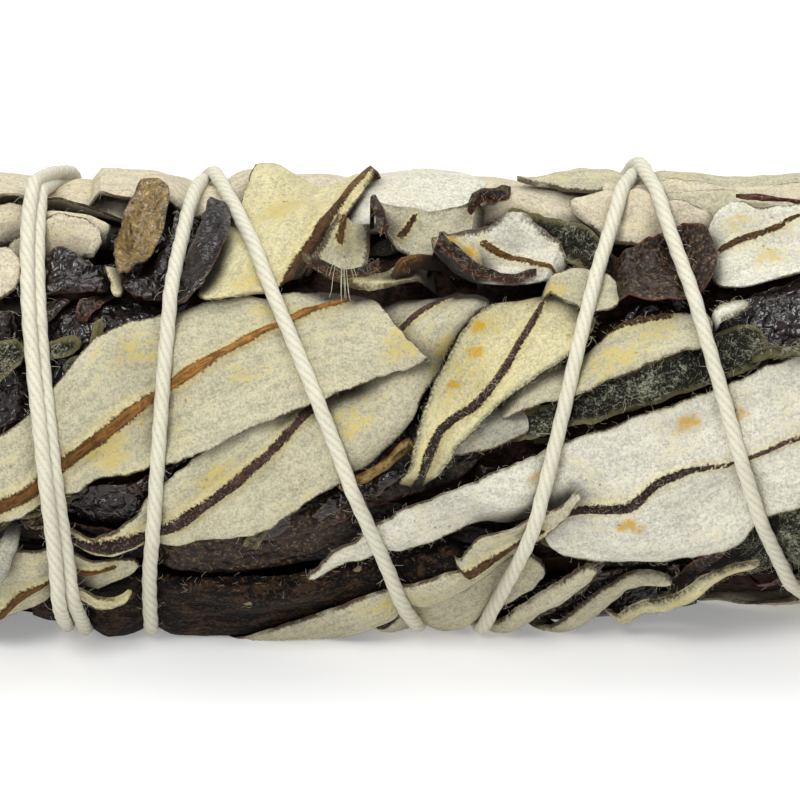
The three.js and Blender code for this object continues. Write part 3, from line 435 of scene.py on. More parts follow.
@dataclass(frozen=True)
class Bundle:
    """The form of the whole bunch, in millimetres and degrees."""

    length: float = 100.0
    radius: float = 14.1
    axis_height: float = 12.0
    centre_shift: float = 0.4
    face_tilt: float = 25.0
    core: float = 11.5
    core_start: float = -45.0
    core_end: float = 49.0
    sprigs: int = 5
    twist: float = 2.0
    hollow_depth: float = 1.5
    hollow_at: Span = (22.0, -75.0)
    hollow_spread: Span = (13.0, 32.0)
    floor: float = 0.03
    leaf_depth: float = 2.1
    low_depth: float = 1.0
    low_turn: Span = (-84.0, 14.0)
    under_depth: float = 1.4
    under_turn: Span = (-120.0, 26.0)
    pressed_x: Span = (38.0, 8.0)
    tip_taper: Span = (35.0, 15.0)
    butt_taper: Span = (-34.0, 16.0)
    butt_loss: float = 0.16
    least_taper: float = 0.08

    @property
    def mm_per_degree(self) -> float:
        """Length of one degree round the bunch."""
        return math.radians(self.radius)

    @property
    def sprig_turn(self) -> float:
        """The share of a turn that each sprig takes."""
        return 360.0 / self.sprigs

    def buttward(self, x: Array) -> Array:
        """How far places are into the narrower stem end, as a share of it."""
        return np.maximum(0.0, (self.butt_taper[0] - x) / self.butt_taper[1])

    def core_radius(self, x: Array, turn: Array) -> Array:
        """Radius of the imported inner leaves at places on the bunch.

        Args:
            x: Millimetres along.
            turn: Degrees round.

        Returns:
            The radius in millimetres.
        """
        tipward = np.maximum(0.0, (x - self.tip_taper[0]) / self.tip_taper[1])
        taper = np.sqrt(np.maximum(self.least_taper, 1 - tipward**2))
        taper = taper * (1 - self.butt_loss * self.buttward(x) ** 2)
        along = bell((x - self.hollow_at[0]) / self.hollow_spread[0])
        around = bell(signed_turn(turn - self.hollow_at[1]) / self.hollow_spread[1])
        return self.core * taper - self.hollow_depth * along * around

    def points(self, x: Array, turn: Array, radius: Array) -> Array:
        """Places on the bunch as points in space, never under the surface it lies on.

        Args:
            x: Millimetres along.
            turn: Degrees round.
            radius: Millimetres from the axis.

        Returns:
            Points in metres, one a row.
        """
        angle = np.radians(np.asarray(turn) + self.face_tilt)
        y = self.centre_shift - radius * np.cos(angle)
        z = np.maximum(self.floor, self.axis_height + radius * np.sin(angle))
        return np.stack(np.broadcast_arrays(x, y, z), axis=-1).reshape(-1, 3) * MM

    def sprig_at(self, x: float, turn: float) -> int:
        """The sprig that a place on the bunch belongs to."""
        return int(np.mod(turn - self.twist * x, 360.0) // self.sprig_turn) % self.sprigs


class Relief:
    """How high the bunch has been built up, on a grid along and round it."""

    CELL_X = 0.25
    CELL_TURN = 1.0
    FIRST_X = -53.0
    COLUMNS = 425
    ROWS = 360
    SKIN_REACH = 3
    SKIN_SOFTNESS = 4
    PRESS_REACH = 2
    PRESS_SOFTNESS = 10
    PRESS_LIMITS = (-3.0, 1.3)

    def __init__(self, bundle: Bundle) -> None:
        """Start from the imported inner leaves.

        Args:
            bundle: The bunch.
        """
        self.columns = self.FIRST_X + self.CELL_X * np.arange(self.COLUMNS)
        self.rows = self.CELL_TURN * np.arange(self.ROWS)
        self.height = bundle.core_radius(self.columns[:, None], self.rows[None, :])
        self.shift = np.zeros_like(self.height)

    def press(self, bundle: Bundle) -> None:
        """Even out the stack of leaves, as the string does that binds them.

        Args:
            bundle: The bunch, whose leaf depth is kept.
        """
        x, turn = self.columns[:, None], self.rows[None, :]
        under = bell(signed_turn(turn - bundle.under_turn[0]) / bundle.under_turn[1])
        low = bell(signed_turn(turn - bundle.low_turn[0]) / bundle.low_turn[1])
        wanted = bundle.core_radius(x, turn) + bundle.leaf_depth - bundle.under_depth * under
        wanted = wanted + bundle.low_depth * low
        stack = self.softened(self.widened(self.PRESS_REACH), self.PRESS_SOFTNESS)
        stack = self.softened(stack, self.PRESS_SOFTNESS)
        inside = np.clip((bundle.pressed_x[0] + bundle.pressed_x[1] - np.abs(x)) / bundle.pressed_x[1], 0, 1)
        self.shift = np.clip(wanted - stack, *self.PRESS_LIMITS) * inside
        self.height = self.height + self.shift

    def bite(self, x: Array, turn: Array, depth: float, width: float) -> None:
        """Press a groove into the leaves along the string.

        Args:
            x: Millimetres along, at each step of the string.
            turn: Degrees round, rising from step to step.
            depth: Depth of the groove in millimetres.
            width: Its half-width in millimetres.
        """
        groove = np.zeros_like(self.height)
        for place in np.arange(math.ceil(turn[0]), turn[-1]):
            row = int(place % 360)
            near = bell((self.columns - np.interp(place, turn, x)) / width)
            groove[:, row] = np.maximum(groove[:, row], depth * near)
        self.shift = self.shift - groove
        self.height = self.height - groove

    @staticmethod
    def spread(grid: Array, reach: int, combine: Callable[[list[Array]], Array]) -> Array:
        """Give each cell a value from its neighbours, first along and then round the bunch.

        Args:
            grid: The values.
            reach: How many cells to each side count.
            combine: Makes one grid of several.

        Returns:
            The new grid.
        """
        for axis, mode in ((0, "edge"), (1, "wrap")):
            pads = [(0, 0), (0, 0)]
            pads[axis] = (reach, reach)
            padded = np.pad(grid, pads, mode=mode)
            size = grid.shape[axis]
            shifts = range(2 * reach + 1)
            grid = combine([padded.take(range(s, s + size), axis=axis) for s in shifts])
        return grid

    def widened(self, reach: int) -> Array:
        """The highest value near each cell."""
        return self.spread(self.height, reach, np.maximum.reduce)

    def softened(self, grid: Array, reach: int) -> Array:
        """The mean value near each cell."""
        return self.spread(grid, reach, lambda layers: np.mean(layers, axis=0))

    def skin(self) -> Array:
        """A taut skin over the bunch, which the next leaf follows."""
        return self.softened(self.widened(self.SKIN_REACH), self.SKIN_SOFTNESS)

    def read(self, grid: Array, x: Array, turn: Array) -> Array:
        """Read a grid between its cells.

        Args:
            grid: The values.
            x: Millimetres along.
            turn: Degrees round.

        Returns:
            A value for each place.
        """
        column = np.clip((x - self.FIRST_X) / self.CELL_X, 0, self.COLUMNS - 1.001)
        row = np.mod(turn, 360.0) / self.CELL_TURN
        c, r = column.astype(int), row.astype(int) % self.ROWS
        f, g = column - c, row - np.floor(row)
        after = (r + 1) % self.ROWS
        near = grid[c, r] * (1 - g) + grid[c, after] * g
        far = grid[c + 1, r] * (1 - g) + grid[c + 1, after] * g
        return near * (1 - f) + far * f

    def raise_to(self, x: Array, turn: Array, radius: Array) -> None:
        """Build the bunch up to a leaf's upper side.

        Args:
            x: Millimetres along, on the leaf's own grid.
            turn: Degrees round.
            radius: Millimetres from the axis.
        """
        fine = [self.doubled(grid) for grid in (x, turn, radius)]
        column = np.clip(np.rint((fine[0] - self.FIRST_X) / self.CELL_X).astype(int), 0, self.COLUMNS - 1)
        row = np.rint(np.mod(fine[1], 360.0) / self.CELL_TURN).astype(int) % self.ROWS
        np.maximum.at(self.height, (column, row), fine[2])

    @staticmethod
    def doubled(grid: Array) -> Array:
        """Put a row and a column between each two.

        Args:
            grid: The grid.

        Returns:
            The finer grid.
        """
        for axis in (0, 1):
            grid = np.moveaxis(grid, axis, 0)
            wide = np.empty((2 * len(grid) - 1, *grid.shape[1:]))
            wide[::2] = grid
            wide[1::2] = (grid[1:] + grid[:-1]) / 2
            grid = np.moveaxis(wide, 0, axis)
        return grid


class Line:
    """A smooth line on the unrolled bunch, read by its own length."""

    SAMPLES = 400
    SPARSE = 5

    def __init__(self, points: Edge, mm_per_degree: float) -> None:
        """Draw the line and measure it.

        Args:
            points: Places on it, as (mm along, degrees round).
            mm_per_degree: Millimetres round the bunch in a degree.
        """
        flat = np.array(points, float) * (1.0, mm_per_degree)
        self.points = catmull(flat, np.linspace(0, 1, self.SAMPLES))
        steps = np.linalg.norm(np.diff(self.points, axis=0), axis=1)
        reach = np.concatenate(([0.0], np.cumsum(steps)))
        self.length = float(reach[-1])
        self.share = reach / self.length

    def at(self, share: Array) -> Array:
        """Points at shares of the line's length."""
        return np.stack([np.interp(share, self.share, self.points[:, k]) for k in (0, 1)], axis=-1)

    def distance(self, places: Array) -> tuple[Array, Array]:
        """How far places are from the line.

        Args:
            places: Places on the unrolled bunch, in millimetres, one a row.

        Returns:
            The distance of each, and the share of the line's length where it is nearest.
        """
        sparse, shares = self.points[:: self.SPARSE], self.share[:: self.SPARSE]
        away = np.linalg.norm(places[:, None, :] - sparse[None, :, :], axis=2)
        nearest = away.argmin(axis=1)
        best = away.min(axis=1)
        for first in (np.maximum(nearest - 1, 0), np.minimum(nearest, len(sparse) - 2)):
            start, step = sparse[first], sparse[first + 1] - sparse[first]
            along = np.einsum("ij,ij->i", places - start, step)
            along = np.clip(along / np.maximum(1e-9, np.sum(step**2, axis=1)), 0, 1)
            foot = start + step * along[:, None]
            best = np.minimum(best, np.linalg.norm(places - foot, axis=1))
        return best, shares[nearest]


@dataclass
class Patch:
    """A mesh in the making, with the values that its finishes read at each corner."""

    points: Array
    faces: list[list[int]]
    kind: Kind
    values: dict[str, Array]
    tone: Colour


def plain_values(count: int, **known: Array | float) -> dict[str, Array]:
    """Numbers for the corners of a mesh: those that are given, and 0 for the others."""
    return {name: np.zeros(count) + known.get(name, 0.0) for name in VALUE_NAMES}


def tube_faces(rings: int, sides: int, first: int = 0, flipped: bool = False) -> list[list[int]]:
    """Join rings of corners into a tube with closed ends.

    Args:
        rings: How many rings there are.
        sides: Corners of each ring.
        first: Number of the first corner.
        flipped: Whether the rings run the other way round.

    Returns:
        The faces.
    """
    index = np.arange(rings * sides).reshape(rings, sides) + first
    after = np.roll(index, -1, axis=1)
    corners = [index[:-1], index[1:], after[1:], after[:-1]]
    ends = [index[0], index[-1][::-1]]
    if flipped:
        corners = [corners[0], *corners[:0:-1]]
        ends = [end[::-1] for end in ends]
    return np.stack(corners, -1).reshape(-1, 4).tolist() + [end.tolist() for end in ends]


def shell_faces(rows: int, columns: int) -> list[list[int]]:
    """Join an upper and a lower grid of corners into a closed thin shell.

    Args:
        rows: Corners along each grid.
        columns: Corners across each grid.

    Returns:
        The faces, counting the upper grid's corners first.
    """
    index = np.arange(rows * columns).reshape(rows, columns)
    below = index + rows * columns
    a, b, c, d = index[:-1, :-1], index[1:, :-1], index[1:, 1:], index[:-1, 1:]
    quads = [np.stack([a, b, c, d], -1), np.stack([d, c, b, a], -1) + rows * columns]
    rims = (
        (index[:, 0], below[:, 0]),
        (index[::-1, -1], below[::-1, -1]),
        (index[-1, :], below[-1, :]),
        (index[0, ::-1], below[0, ::-1]),
    )
    for over, under in rims:
        quads.append(np.stack([over[:-1], under[:-1], under[1:], over[1:]], -1))
    return np.concatenate([quad.reshape(-1, 4) for quad in quads]).tolist()


class Blade:
    """One leaf blade, draped on the bunch."""

    LEAST_LIFT = 0.12
    SUNK_LIFT = 0.1
    SINK_SHARE = 0.16
    LEAST_WIDTH = 0.5
    RIDGE = 0.3
    FREE = 99.0
    STEPS = (14, 170)
    SIDES = (8, 70)
    ROUNDING = (0.03, 0.3)
    RAGGED = ((0.22, 5.7, 3.4), (0.14, 7.3, 1.3), (0.09, 3.1, 0.45))
    ROLL_REACH = 0.55
    FRINGE_REACH = 0.35
    THIN_REACH = 0.5
    HIDDEN = 0.35
    CLEAR_OF_FLOOR = 0.7

    def __init__(self, drawn: Drawn, bundle: Bundle, seed: int, spacing: float, sprig: int | None) -> None:
        """Work out the outline.

        Args:
            drawn: The leaf as it is laid.
            bundle: The bunch that it lies on.
            seed: Seed of its waves and ragged edges.
            spacing: Millimetres between the corners of its mesh.
            sprig: The sprig it grows on, or None for the one that it lies over.
        """
        self.drawn = drawn
        self.bundle = bundle
        self.noise = Noise(seed)
        self.offset = 37.0 * (seed % 29)
        scale = bundle.mm_per_degree
        edges = [Line(drawn.lower, scale), Line(drawn.upper, scale)]
        middle = [line.at(np.array([0.4, 0.49, 0.5, 0.51])) for line in edges]
        along, across = middle[0][3] - middle[0][1], middle[1][2] - middle[0][2]
        if along[0] * across[1] - along[1] * across[0] < 0:
            edges.reverse()
        self.length = (edges[0].length + edges[1].length) / 2
        centre = (middle[0][0] + middle[1][0]) / 2
        self.sprig = bundle.sprig_at(centre[0], centre[1] / scale) if sprig is None else sprig
        self.lay_out(edges, spacing)

    def lay_out(self, edges: list[Line], spacing: float) -> None:
        """Spread the corners of the mesh between the two edges.

        Args:
            edges: The right and the left edge.
            spacing: Millimetres between corners.
        """
        steps = int(np.clip(self.length / spacing, *self.STEPS))
        share = np.linspace(0, 1, steps + 1)
        low, high = edges[0].at(share), edges[1].at(share)
        middle, half = (low + high) / 2, (high - low) / 2
        along = np.gradient(middle, axis=0)
        along /= np.maximum(1e-9, np.linalg.norm(along, axis=1))[:, None]
        side = np.stack([-along[:, 1], along[:, 0]], axis=-1)
        reach = np.linalg.norm(half, axis=1)
        narrow = reach < self.LEAST_WIDTH / 2
        half[narrow] = side[narrow] * self.LEAST_WIDTH / 2
        reach = np.maximum(reach, self.LEAST_WIDTH / 2)
        rounding = np.clip(0.7 * reach[-1] / self.length, *self.ROUNDING)
        past = np.clip((share - 1 + rounding) / rounding, 0, 1)
        half *= np.maximum(0.15, np.sqrt(1 - past**2))[:, None]
        reach = np.linalg.norm(half, axis=1)
        sides = int(np.clip(2 * reach.max() / spacing, *self.SIDES))
        across = np.linspace(-1, 1, sides + 1)
        run = share * self.length
        ragged = [
            sum(
                depth * self.noise.at(run, np.full_like(run, row + 9 * k), size)
                for depth, row, size in self.RAGGED
            )
            for k in (0, 1)
        ]
        outer = half / reach[:, None]
        low, high = middle - half - outer * ragged[0][:, None], middle + half + outer * ragged[1][:, None]
        blend = ((across + 1) / 2)[None, :, None]
        grid = low[:, None, :] * (1 - blend) + high[:, None, :] * blend
        self.x = np.clip(grid[..., 0], 0.2 - self.bundle.length / 2, self.bundle.length / 2 - 0.2)
        self.arc = grid[..., 1]
        self.turn = self.arc / self.bundle.mm_per_degree
        self.share = np.broadcast_to(share[:, None], self.x.shape)
        self.across = np.broadcast_to(across[None, :], self.x.shape)
        width = np.linalg.norm(high - low, axis=1)
        from_side = (1 - np.abs(across))[None, :] / 2 * width[:, None]
        self.side = across[None, :] / 2 * width[:, None]
        self.edge = np.minimum(from_side, ((1 - share) * self.length)[:, None])

    def rib_values(self) -> tuple[Array, Array, Array]:
        """How near each corner is to the midrib.

        Returns:
            The distance as a share of the rib's half-width there, how far along the rib in millimetres,
            and the height the rib adds.
        """
        if not self.drawn.rib:
            nothing = np.zeros(self.x.shape)
            return nothing + self.FREE, nothing, nothing
        line = Line(self.drawn.rib, self.bundle.mm_per_degree)
        places = np.stack([self.x.ravel(), self.arc.ravel()], axis=-1)
        away, share = line.distance(places)
        wander = 1 + 0.3 * self.noise.at(places[:, 0], places[:, 1], 1.6)
        half_width = 0.8 * self.drawn.rib_width * (1.1 - 0.5 * share) * wander
        near = (away / half_width).reshape(self.x.shape)
        ridge = self.RIDGE * (bell(near / 1.1) - 0.35 * bell((near - 2.2) / 0.9))
        run = (share * line.length).reshape(self.x.shape)
        return near, run, ridge * min(1.0, self.drawn.rib_width / 0.45)

    def patches(self, places: Marks) -> Array:
        """How strongly each corner is stained.

        Args:
            places: Middles and widths of the stains.

        Returns:
            Values from 0 to 1.
        """
        total = np.zeros(self.x.shape)
        for x, turn, width in places:
            along, up = self.x - x, self.arc - turn * self.bundle.mm_per_degree
            away = np.hypot(0.8 * along + 0.4 * up, 1.4 * up - 0.6 * along)
            total = np.maximum(total, bell(away / width))
        return total

    def settle(self, relief: Relief) -> None:
        """Lay the blade on the bunch as built so far, and build the bunch up by it.

        Args:
            relief: The bunch so far.
        """
        skin = relief.read(relief.skin(), self.x, self.turn)
        under = relief.read(relief.widened(1), self.x, self.turn)
        core = self.bundle.core_radius(self.x, self.turn)
        self.rib, self.rib_run, ridge = self.rib_values()
        wave = self.noise.at(self.x, self.arc, 5.0) + 0.6 * self.noise.at(self.x, self.arc + 40, 2.1)
        fine = self.noise.at(self.x + 17, self.arc, 0.9)
        crumple = self.drawn.crumple * (wave + 0.3 * fine)
        if self.drawn.kind in (Kind.DARK, Kind.TAN, Kind.BROWN):
            run = self.share * self.length
            crease = 1 - 2 * np.abs(self.noise.at(run / 3.0, self.side + 11, 0.9))
            wrinkle = self.noise.at(run + 23, self.side, 0.6)
            crumple = crumple + self.drawn.crumple * (0.55 * crease + 0.25 * wrinkle)
        roll_noise = 1 + 0.8 * self.noise.at(self.x + 31, self.arc, 3.2)
        roll = self.drawn.curl * np.exp(-self.edge / self.ROLL_REACH) * roll_noise
        fall = 1 - np.sqrt(np.maximum(0.0, 1 - self.across**2))
        raised = self.drawn.lift * (1 - self.drawn.dome * fall)
        laid = np.maximum(skin + raised + crumple + ridge + roll, under + self.LEAST_LIFT)
        sunk = np.clip(self.share / self.SINK_SHARE, 0, 1)
        base = core + self.SUNK_LIFT
        self.top = base + (laid - base) * sunk
        relief.raise_to(self.x, self.turn, self.top)

    def patch(self, relief: Relief, cover: Array) -> Patch:
        """Make the blade's closed mesh and the values its finish reads.

        Args:
            relief: The finished bunch.
            cover: The finished bunch's height, softened.

        Returns:
            The mesh.
        """
        rows, columns = self.x.shape
        thick = self.drawn.thick * (0.35 + 0.65 * np.clip(self.edge / self.THIN_REACH, 0, 1))
        upper = self.bundle.points(self.x, self.turn, self.top)
        lower = self.bundle.points(self.x, self.turn, self.top - thick)
        faces = shell_faces(rows, columns)
        hidden = relief.read(cover, self.x, self.turn) - self.top
        fringe = self.drawn.fringe * np.exp(-self.edge / self.FRINGE_REACH)
        if self.drawn.kind in (Kind.FUZZY, Kind.BROWN):
            fringe = np.maximum(fringe, 0.45 * self.drawn.fringe)
        if self.drawn.fringe > 0.5:
            fringe = np.maximum(fringe, 0.5 * self.drawn.fringe * bell(self.rib / 1.5))
        free = upper[:, 2].reshape(self.x.shape) > self.CLEAR_OF_FLOOR * MM
        fringe = fringe * free * (hidden < self.HIDDEN) * (self.share > self.SINK_SHARE)
        rib_tone = np.full(self.x.shape, self.drawn.rib_colour.value)
        values = {
            "edge": self.edge / self.drawn.rim,
            "rib": self.rib,
            "rib_run": self.rib_run,
            "rib_tone": rib_tone,
            "run": self.share * self.length + self.offset,
            "side": self.side,
            "stain": self.patches(self.drawn.stains),
            "spot": self.patches(self.drawn.spots),
            # Painted shade: darker where the softened bunch stands higher than this leaf, under and beside
            # other leaves.
            "shade": np.clip((hidden - 0.3) / 0.8, 0, 1),
            "fuzz": fringe,
        }
        both = {name: np.concatenate([grid.ravel(), grid.ravel()]) for name, grid in values.items()}
        both["fuzz"][rows * columns:] = 0.0
        return Patch(np.concatenate([upper, lower]), faces, self.drawn.kind, both, self.drawn.tone.value)


@dataclass(frozen=True)
class Ranks:
    """The leaves that grow in ranks up each sprig, away from the viewer's side."""

    count: int = 5
    spacing: float = 17.0
    start: float = -44.0
    length: Span = (26.0, 30.0)
    half_width: Span = (3.6, 4.8)
    seed: int = 4206
    seen_x: float = 23.0
    seen_turn: Span = (-92.0, 84.0)
    shares: tuple[float, ...] = (0.0, 0.2, 0.45, 0.7, 0.9, 1.0)
    tip_count: int = 13
    tip_x: Span = (31.0, 36.0)
    tip_end: float = 49.4
    tip_half_width: Span = (3.0, 4.4)
    tip_slope: Span = (0.1, 0.5)
    tip_wander: float = 8.0

    @staticmethod
    def outline(share: float) -> float:
        """Half-width of a sage leaf along its length.

        Args:
            share: How far along, from 0 to 1.

        Returns:
            The half-width as a share of the widest.
        """
        rise = math.sin(math.pi / 2 * min(1.0, share / 0.4))
        fall = math.cos(math.pi / 2 * max(0.0, (share - 0.5) / 0.5))
        return max(0.1, (0.25 + 0.75 * rise) * max(0.0, fall) ** 0.8)

    def draw(self, bundle: Bundle) -> list[tuple[Drawn, int]]:
        """Draw every leaf by rule, from the tip end to the cut stems.

        Args:
            bundle: The bunch they lie on.

        Returns:
            The leaves, each with its sprig.
        """
        numbers = seeded_numbers(self.seed)
        made = []

        def between(low: float, high: float) -> float:
            """The next number between two limits."""
            return low + (high - low) * next(numbers)

        for rank in reversed(range(self.count)):
            for sprig in range(bundle.sprigs):
                for side in (0, 1):
                    base_x = self.start + rank * self.spacing + between(-1.5, 1.5)
                    place = sprig + 0.17 + 0.46 * side + 0.2 * (rank % 2)
                    base_turn = bundle.twist * base_x + bundle.sprig_turn * place + between(-4, 4)
                    slope = math.atan(bundle.twist * bundle.mm_per_degree) + math.radians(between(-9, 9))
                    length, half, bend = between(*self.length), between(*self.half_width), between(-1.5, 1.5)
                    if not self.seen(bundle, base_x, base_turn, slope, length):
                        lines = self.lines(bundle, base_x, base_turn, slope, length, bend, half)
                        made.append((self.dressed(len(made), *lines), sprig))
        return made

    def seen(self, bundle: Bundle, x: float, turn: float, slope: float, length: float) -> bool:
        """Whether a leaf would lie where the outer leaves of the viewer's side go.

        Args:
            bundle: The bunch it lies on.
            x: Where it starts, in millimetres along.
            turn: Where it starts, in degrees round.
            slope: Its slope against the bunch's length, in radians.
            length: Its length in millimetres.

        Returns:
            True where it would.
        """
        middle_x = x + length / 2 * math.cos(slope)
        middle_turn = float(signed_turn(turn + length / 2 * math.sin(slope) / bundle.mm_per_degree))
        return abs(middle_x) < self.seen_x and self.seen_turn[0] < middle_turn < self.seen_turn[1]

    def lines(
        self, bundle: Bundle, x: float, turn: float, slope: float, length: float, bend: float, half: float
    ) -> list[Edge]:
        """The lower edge, the rib and the upper edge of a leaf.

        Args:
            bundle: The bunch it lies on.
            x: Where it starts, in millimetres along.
            turn: Where it starts, in degrees round.
            slope: Its slope against the bunch's length, in radians.
            length: Its length in millimetres.
            bend: How far its middle stands off a straight line, in millimetres.
            half: Half its greatest width in millimetres.

        Returns:
            The three lines.
        """
        made = []
        for side in (-half, 0, half):
            line = []
            for share in self.shares:
                off = side * self.outline(share) + bend * math.sin(math.pi * share)
                arc = length * share * math.sin(slope) + off * math.cos(slope)
                along = x + length * share * math.cos(slope) - off * math.sin(slope)
                line.append((along, turn + arc / bundle.mm_per_degree))
            made.append(tuple(line))
        return made

    def tips(self, bundle: Bundle) -> list[tuple[Drawn, int]]:
        """Draw the short leaves whose tips close the far end.

        Args:
            bundle: The bunch they lie on.

        Returns:
            The leaves, each with its sprig.
        """
        random = np.random.default_rng(self.seed)
        made = []
        for number in range(self.tip_count):
            x = random.uniform(*self.tip_x)
            turn = 360 / self.tip_count * number + random.uniform(-self.tip_wander, self.tip_wander)
            half, slope = random.uniform(*self.tip_half_width), random.uniform(*self.tip_slope)
            lines = self.lines(bundle, x, turn, slope, self.tip_end - x, 0.0, half)
            made.append((self.dressed(number, *lines), bundle.sprig_at(x, turn)))
        return made

    @staticmethod
    def dressed(number: int, lower: Edge, rib: Edge, upper: Edge) -> Drawn:
        """Give a leaf its looks by its number: mostly pale, now and then dark or stained.

        Args:
            number: The leaf's number.
            lower: Its lower edge.
            rib: Its rib.
            upper: Its upper edge.

        Returns:
            The leaf.
        """
        if number % 5 == 3:
            return Drawn(lower, upper, Kind.DARK, Tone.BROWN, rib[:-1], Rib.PURPLE, 0.4, crumple=0.25)
        tone = (Tone.PALE, Tone.WHITE, Tone.BEIGE, Tone.CREAM)[number % 4]
        colour = (Rib.OCHRE, Rib.BROWN, Rib.PURPLE)[number % 3]
        middle = rib[2 + number % 2]
        stains = ((middle[0], middle[1] + 9, 2.5),) if number % 2 else ()
        curl, fringe = (number % 7 - 4) / 20, (0.15, 0.5)[number % 2]
        pale = Drawn(lower, upper, Kind.PALE, tone, rib[:-1], colour, 0.5, stains, rim=1.5)
        return replace(pale, fringe=fringe, curl=curl)


def tapered(drawn: Drawn) -> Drawn:
    """Give a leaf end that lies outside the photo a tip in place of a straight cut.

    Args:
        drawn: The leaf as drawn.

    Returns:
        The leaf with its tip.
    """
    lower, upper = list(drawn.lower), list(drawn.upper)
    for end, beside in ((0, 1), (-1, -2)):
        outer, inner = (np.add(lower[k], upper[k]) / 2 for k in (end, beside))
        if abs(outer[0]) > PHOTO_EDGE:
            reach = 2.0 + 0.2 * abs(upper[end][1] - lower[end][1])
            tip = outer + (outer - inner) * reach / abs(outer[0] - inner[0])
            for edge, off in ((lower, -0.5), (upper, 0.5)):
                edge.insert(0 if end == 0 else len(edge), (tip[0], tip[1] + off))
    return replace(drawn, lower=tuple(lower), upper=tuple(upper))


@dataclass(frozen=True)
class Scraps:
    """Broken bits of leaf that lie in the gaps between the outer leaves on the viewer's side."""

    count: int = 110
    x: Span = (-25.0, 27.0)
    turn: Span = (-66.0, 70.0)
    length: Span = (2.2, 6.0)
    width: Span = (0.6, 1.4)
    slant: float = 0.5
    seed: int = 77
    parts: tuple[float, ...] = (-1.0, -0.3, 0.4, 1.0)
    looks: tuple[tuple[Kind, Tone], ...] = (
        (Kind.DARK, Tone.DARK), (Kind.FUZZY, Tone.GREY), (Kind.DARK, Tone.BROWN),
        (Kind.BROWN, Tone.BROWN), (Kind.DARK, Tone.DARK), (Kind.FUZZY, Tone.GREY),
    )

    def draw(self, bundle: Bundle) -> list[Drawn]:
        """Draw the bits by rule.

        Args:
            bundle: The bunch they lie on.

        Returns:
            The bits as leaves.
        """
        random = np.random.default_rng(self.seed)
        made = []
        for number in range(self.count):
            centre = np.array((random.uniform(*self.x), random.uniform(*self.turn)))
            slope = math.atan(bundle.twist * bundle.mm_per_degree) + random.normal(0, self.slant)
            along = np.array((math.cos(slope), math.sin(slope))) * random.uniform(*self.length) / 2
            across = np.array((-math.sin(slope), math.cos(slope))) * random.uniform(*self.width) / 2
            bend, curl = random.uniform(-0.6, 0.6), random.uniform(-0.3, 0.3)
            scale = np.array((1.0, 1 / bundle.mm_per_degree))
            edges = []
            for side in (-1, 1):
                off = [side * (1 - 0.5 * part**2) + bend * part**2 for part in self.parts]
                places = [centre + scale * (part * along + o * across) for part, o in zip(self.parts, off)]
                edges.append(tuple(tuple(place) for place in places))
            bit = Drawn(*edges, *self.looks[number % len(self.looks)], fringe=0.3, crumple=0.2, curl=curl)
            made.append(replace(bit, rim=1.2, lift=0.3, dome=0.1, thick=0.2))
        return made


class Nodes:
    """The nodes of a tree, added one after another."""

    def __init__(self, tree: bpy.types.NodeTree) -> None:
        """Start from an empty tree."""
        self.tree = tree
        self.tree.nodes.clear()

    def add(self, kind: str, **feeds: object) -> bpy.types.Node:
        """Add a node and feed its inputs.

        Args:
            kind: The node's type.
            feeds: Values or sockets by input name, spaces written as underscores.

        Returns:
            The node.
        """
        node = self.tree.nodes.new(kind)
        for name, value in feeds.items():
            self.feed(node.inputs[name.replace("_", " ")], value)
        return node

    def feed(self, socket: Socket, value: object) -> None:
        """Link a socket, or set its value.

        Args:
            socket: The input.
            value: A socket, or what the input takes.
        """
        if isinstance(value, Socket):
            self.tree.links.new(value, socket)
        elif isinstance(value, tuple) and len(socket.default_value) == 4:
            socket.default_value = (*value, 1.0)
        else:
            socket.default_value = value

    def math(self, operation: str, first: Value, second: Value = 0.0) -> Socket:
        """Work out one number from two.

        Args:
            operation: What is done with them.
            first: The first number.
            second: The second number.

        Returns:
            The result.
        """
        node = self.add("ShaderNodeMath")
        node.operation = operation
        self.feed(node.inputs[0], first)
        self.feed(node.inputs[1], second)
        return node.outputs[0]


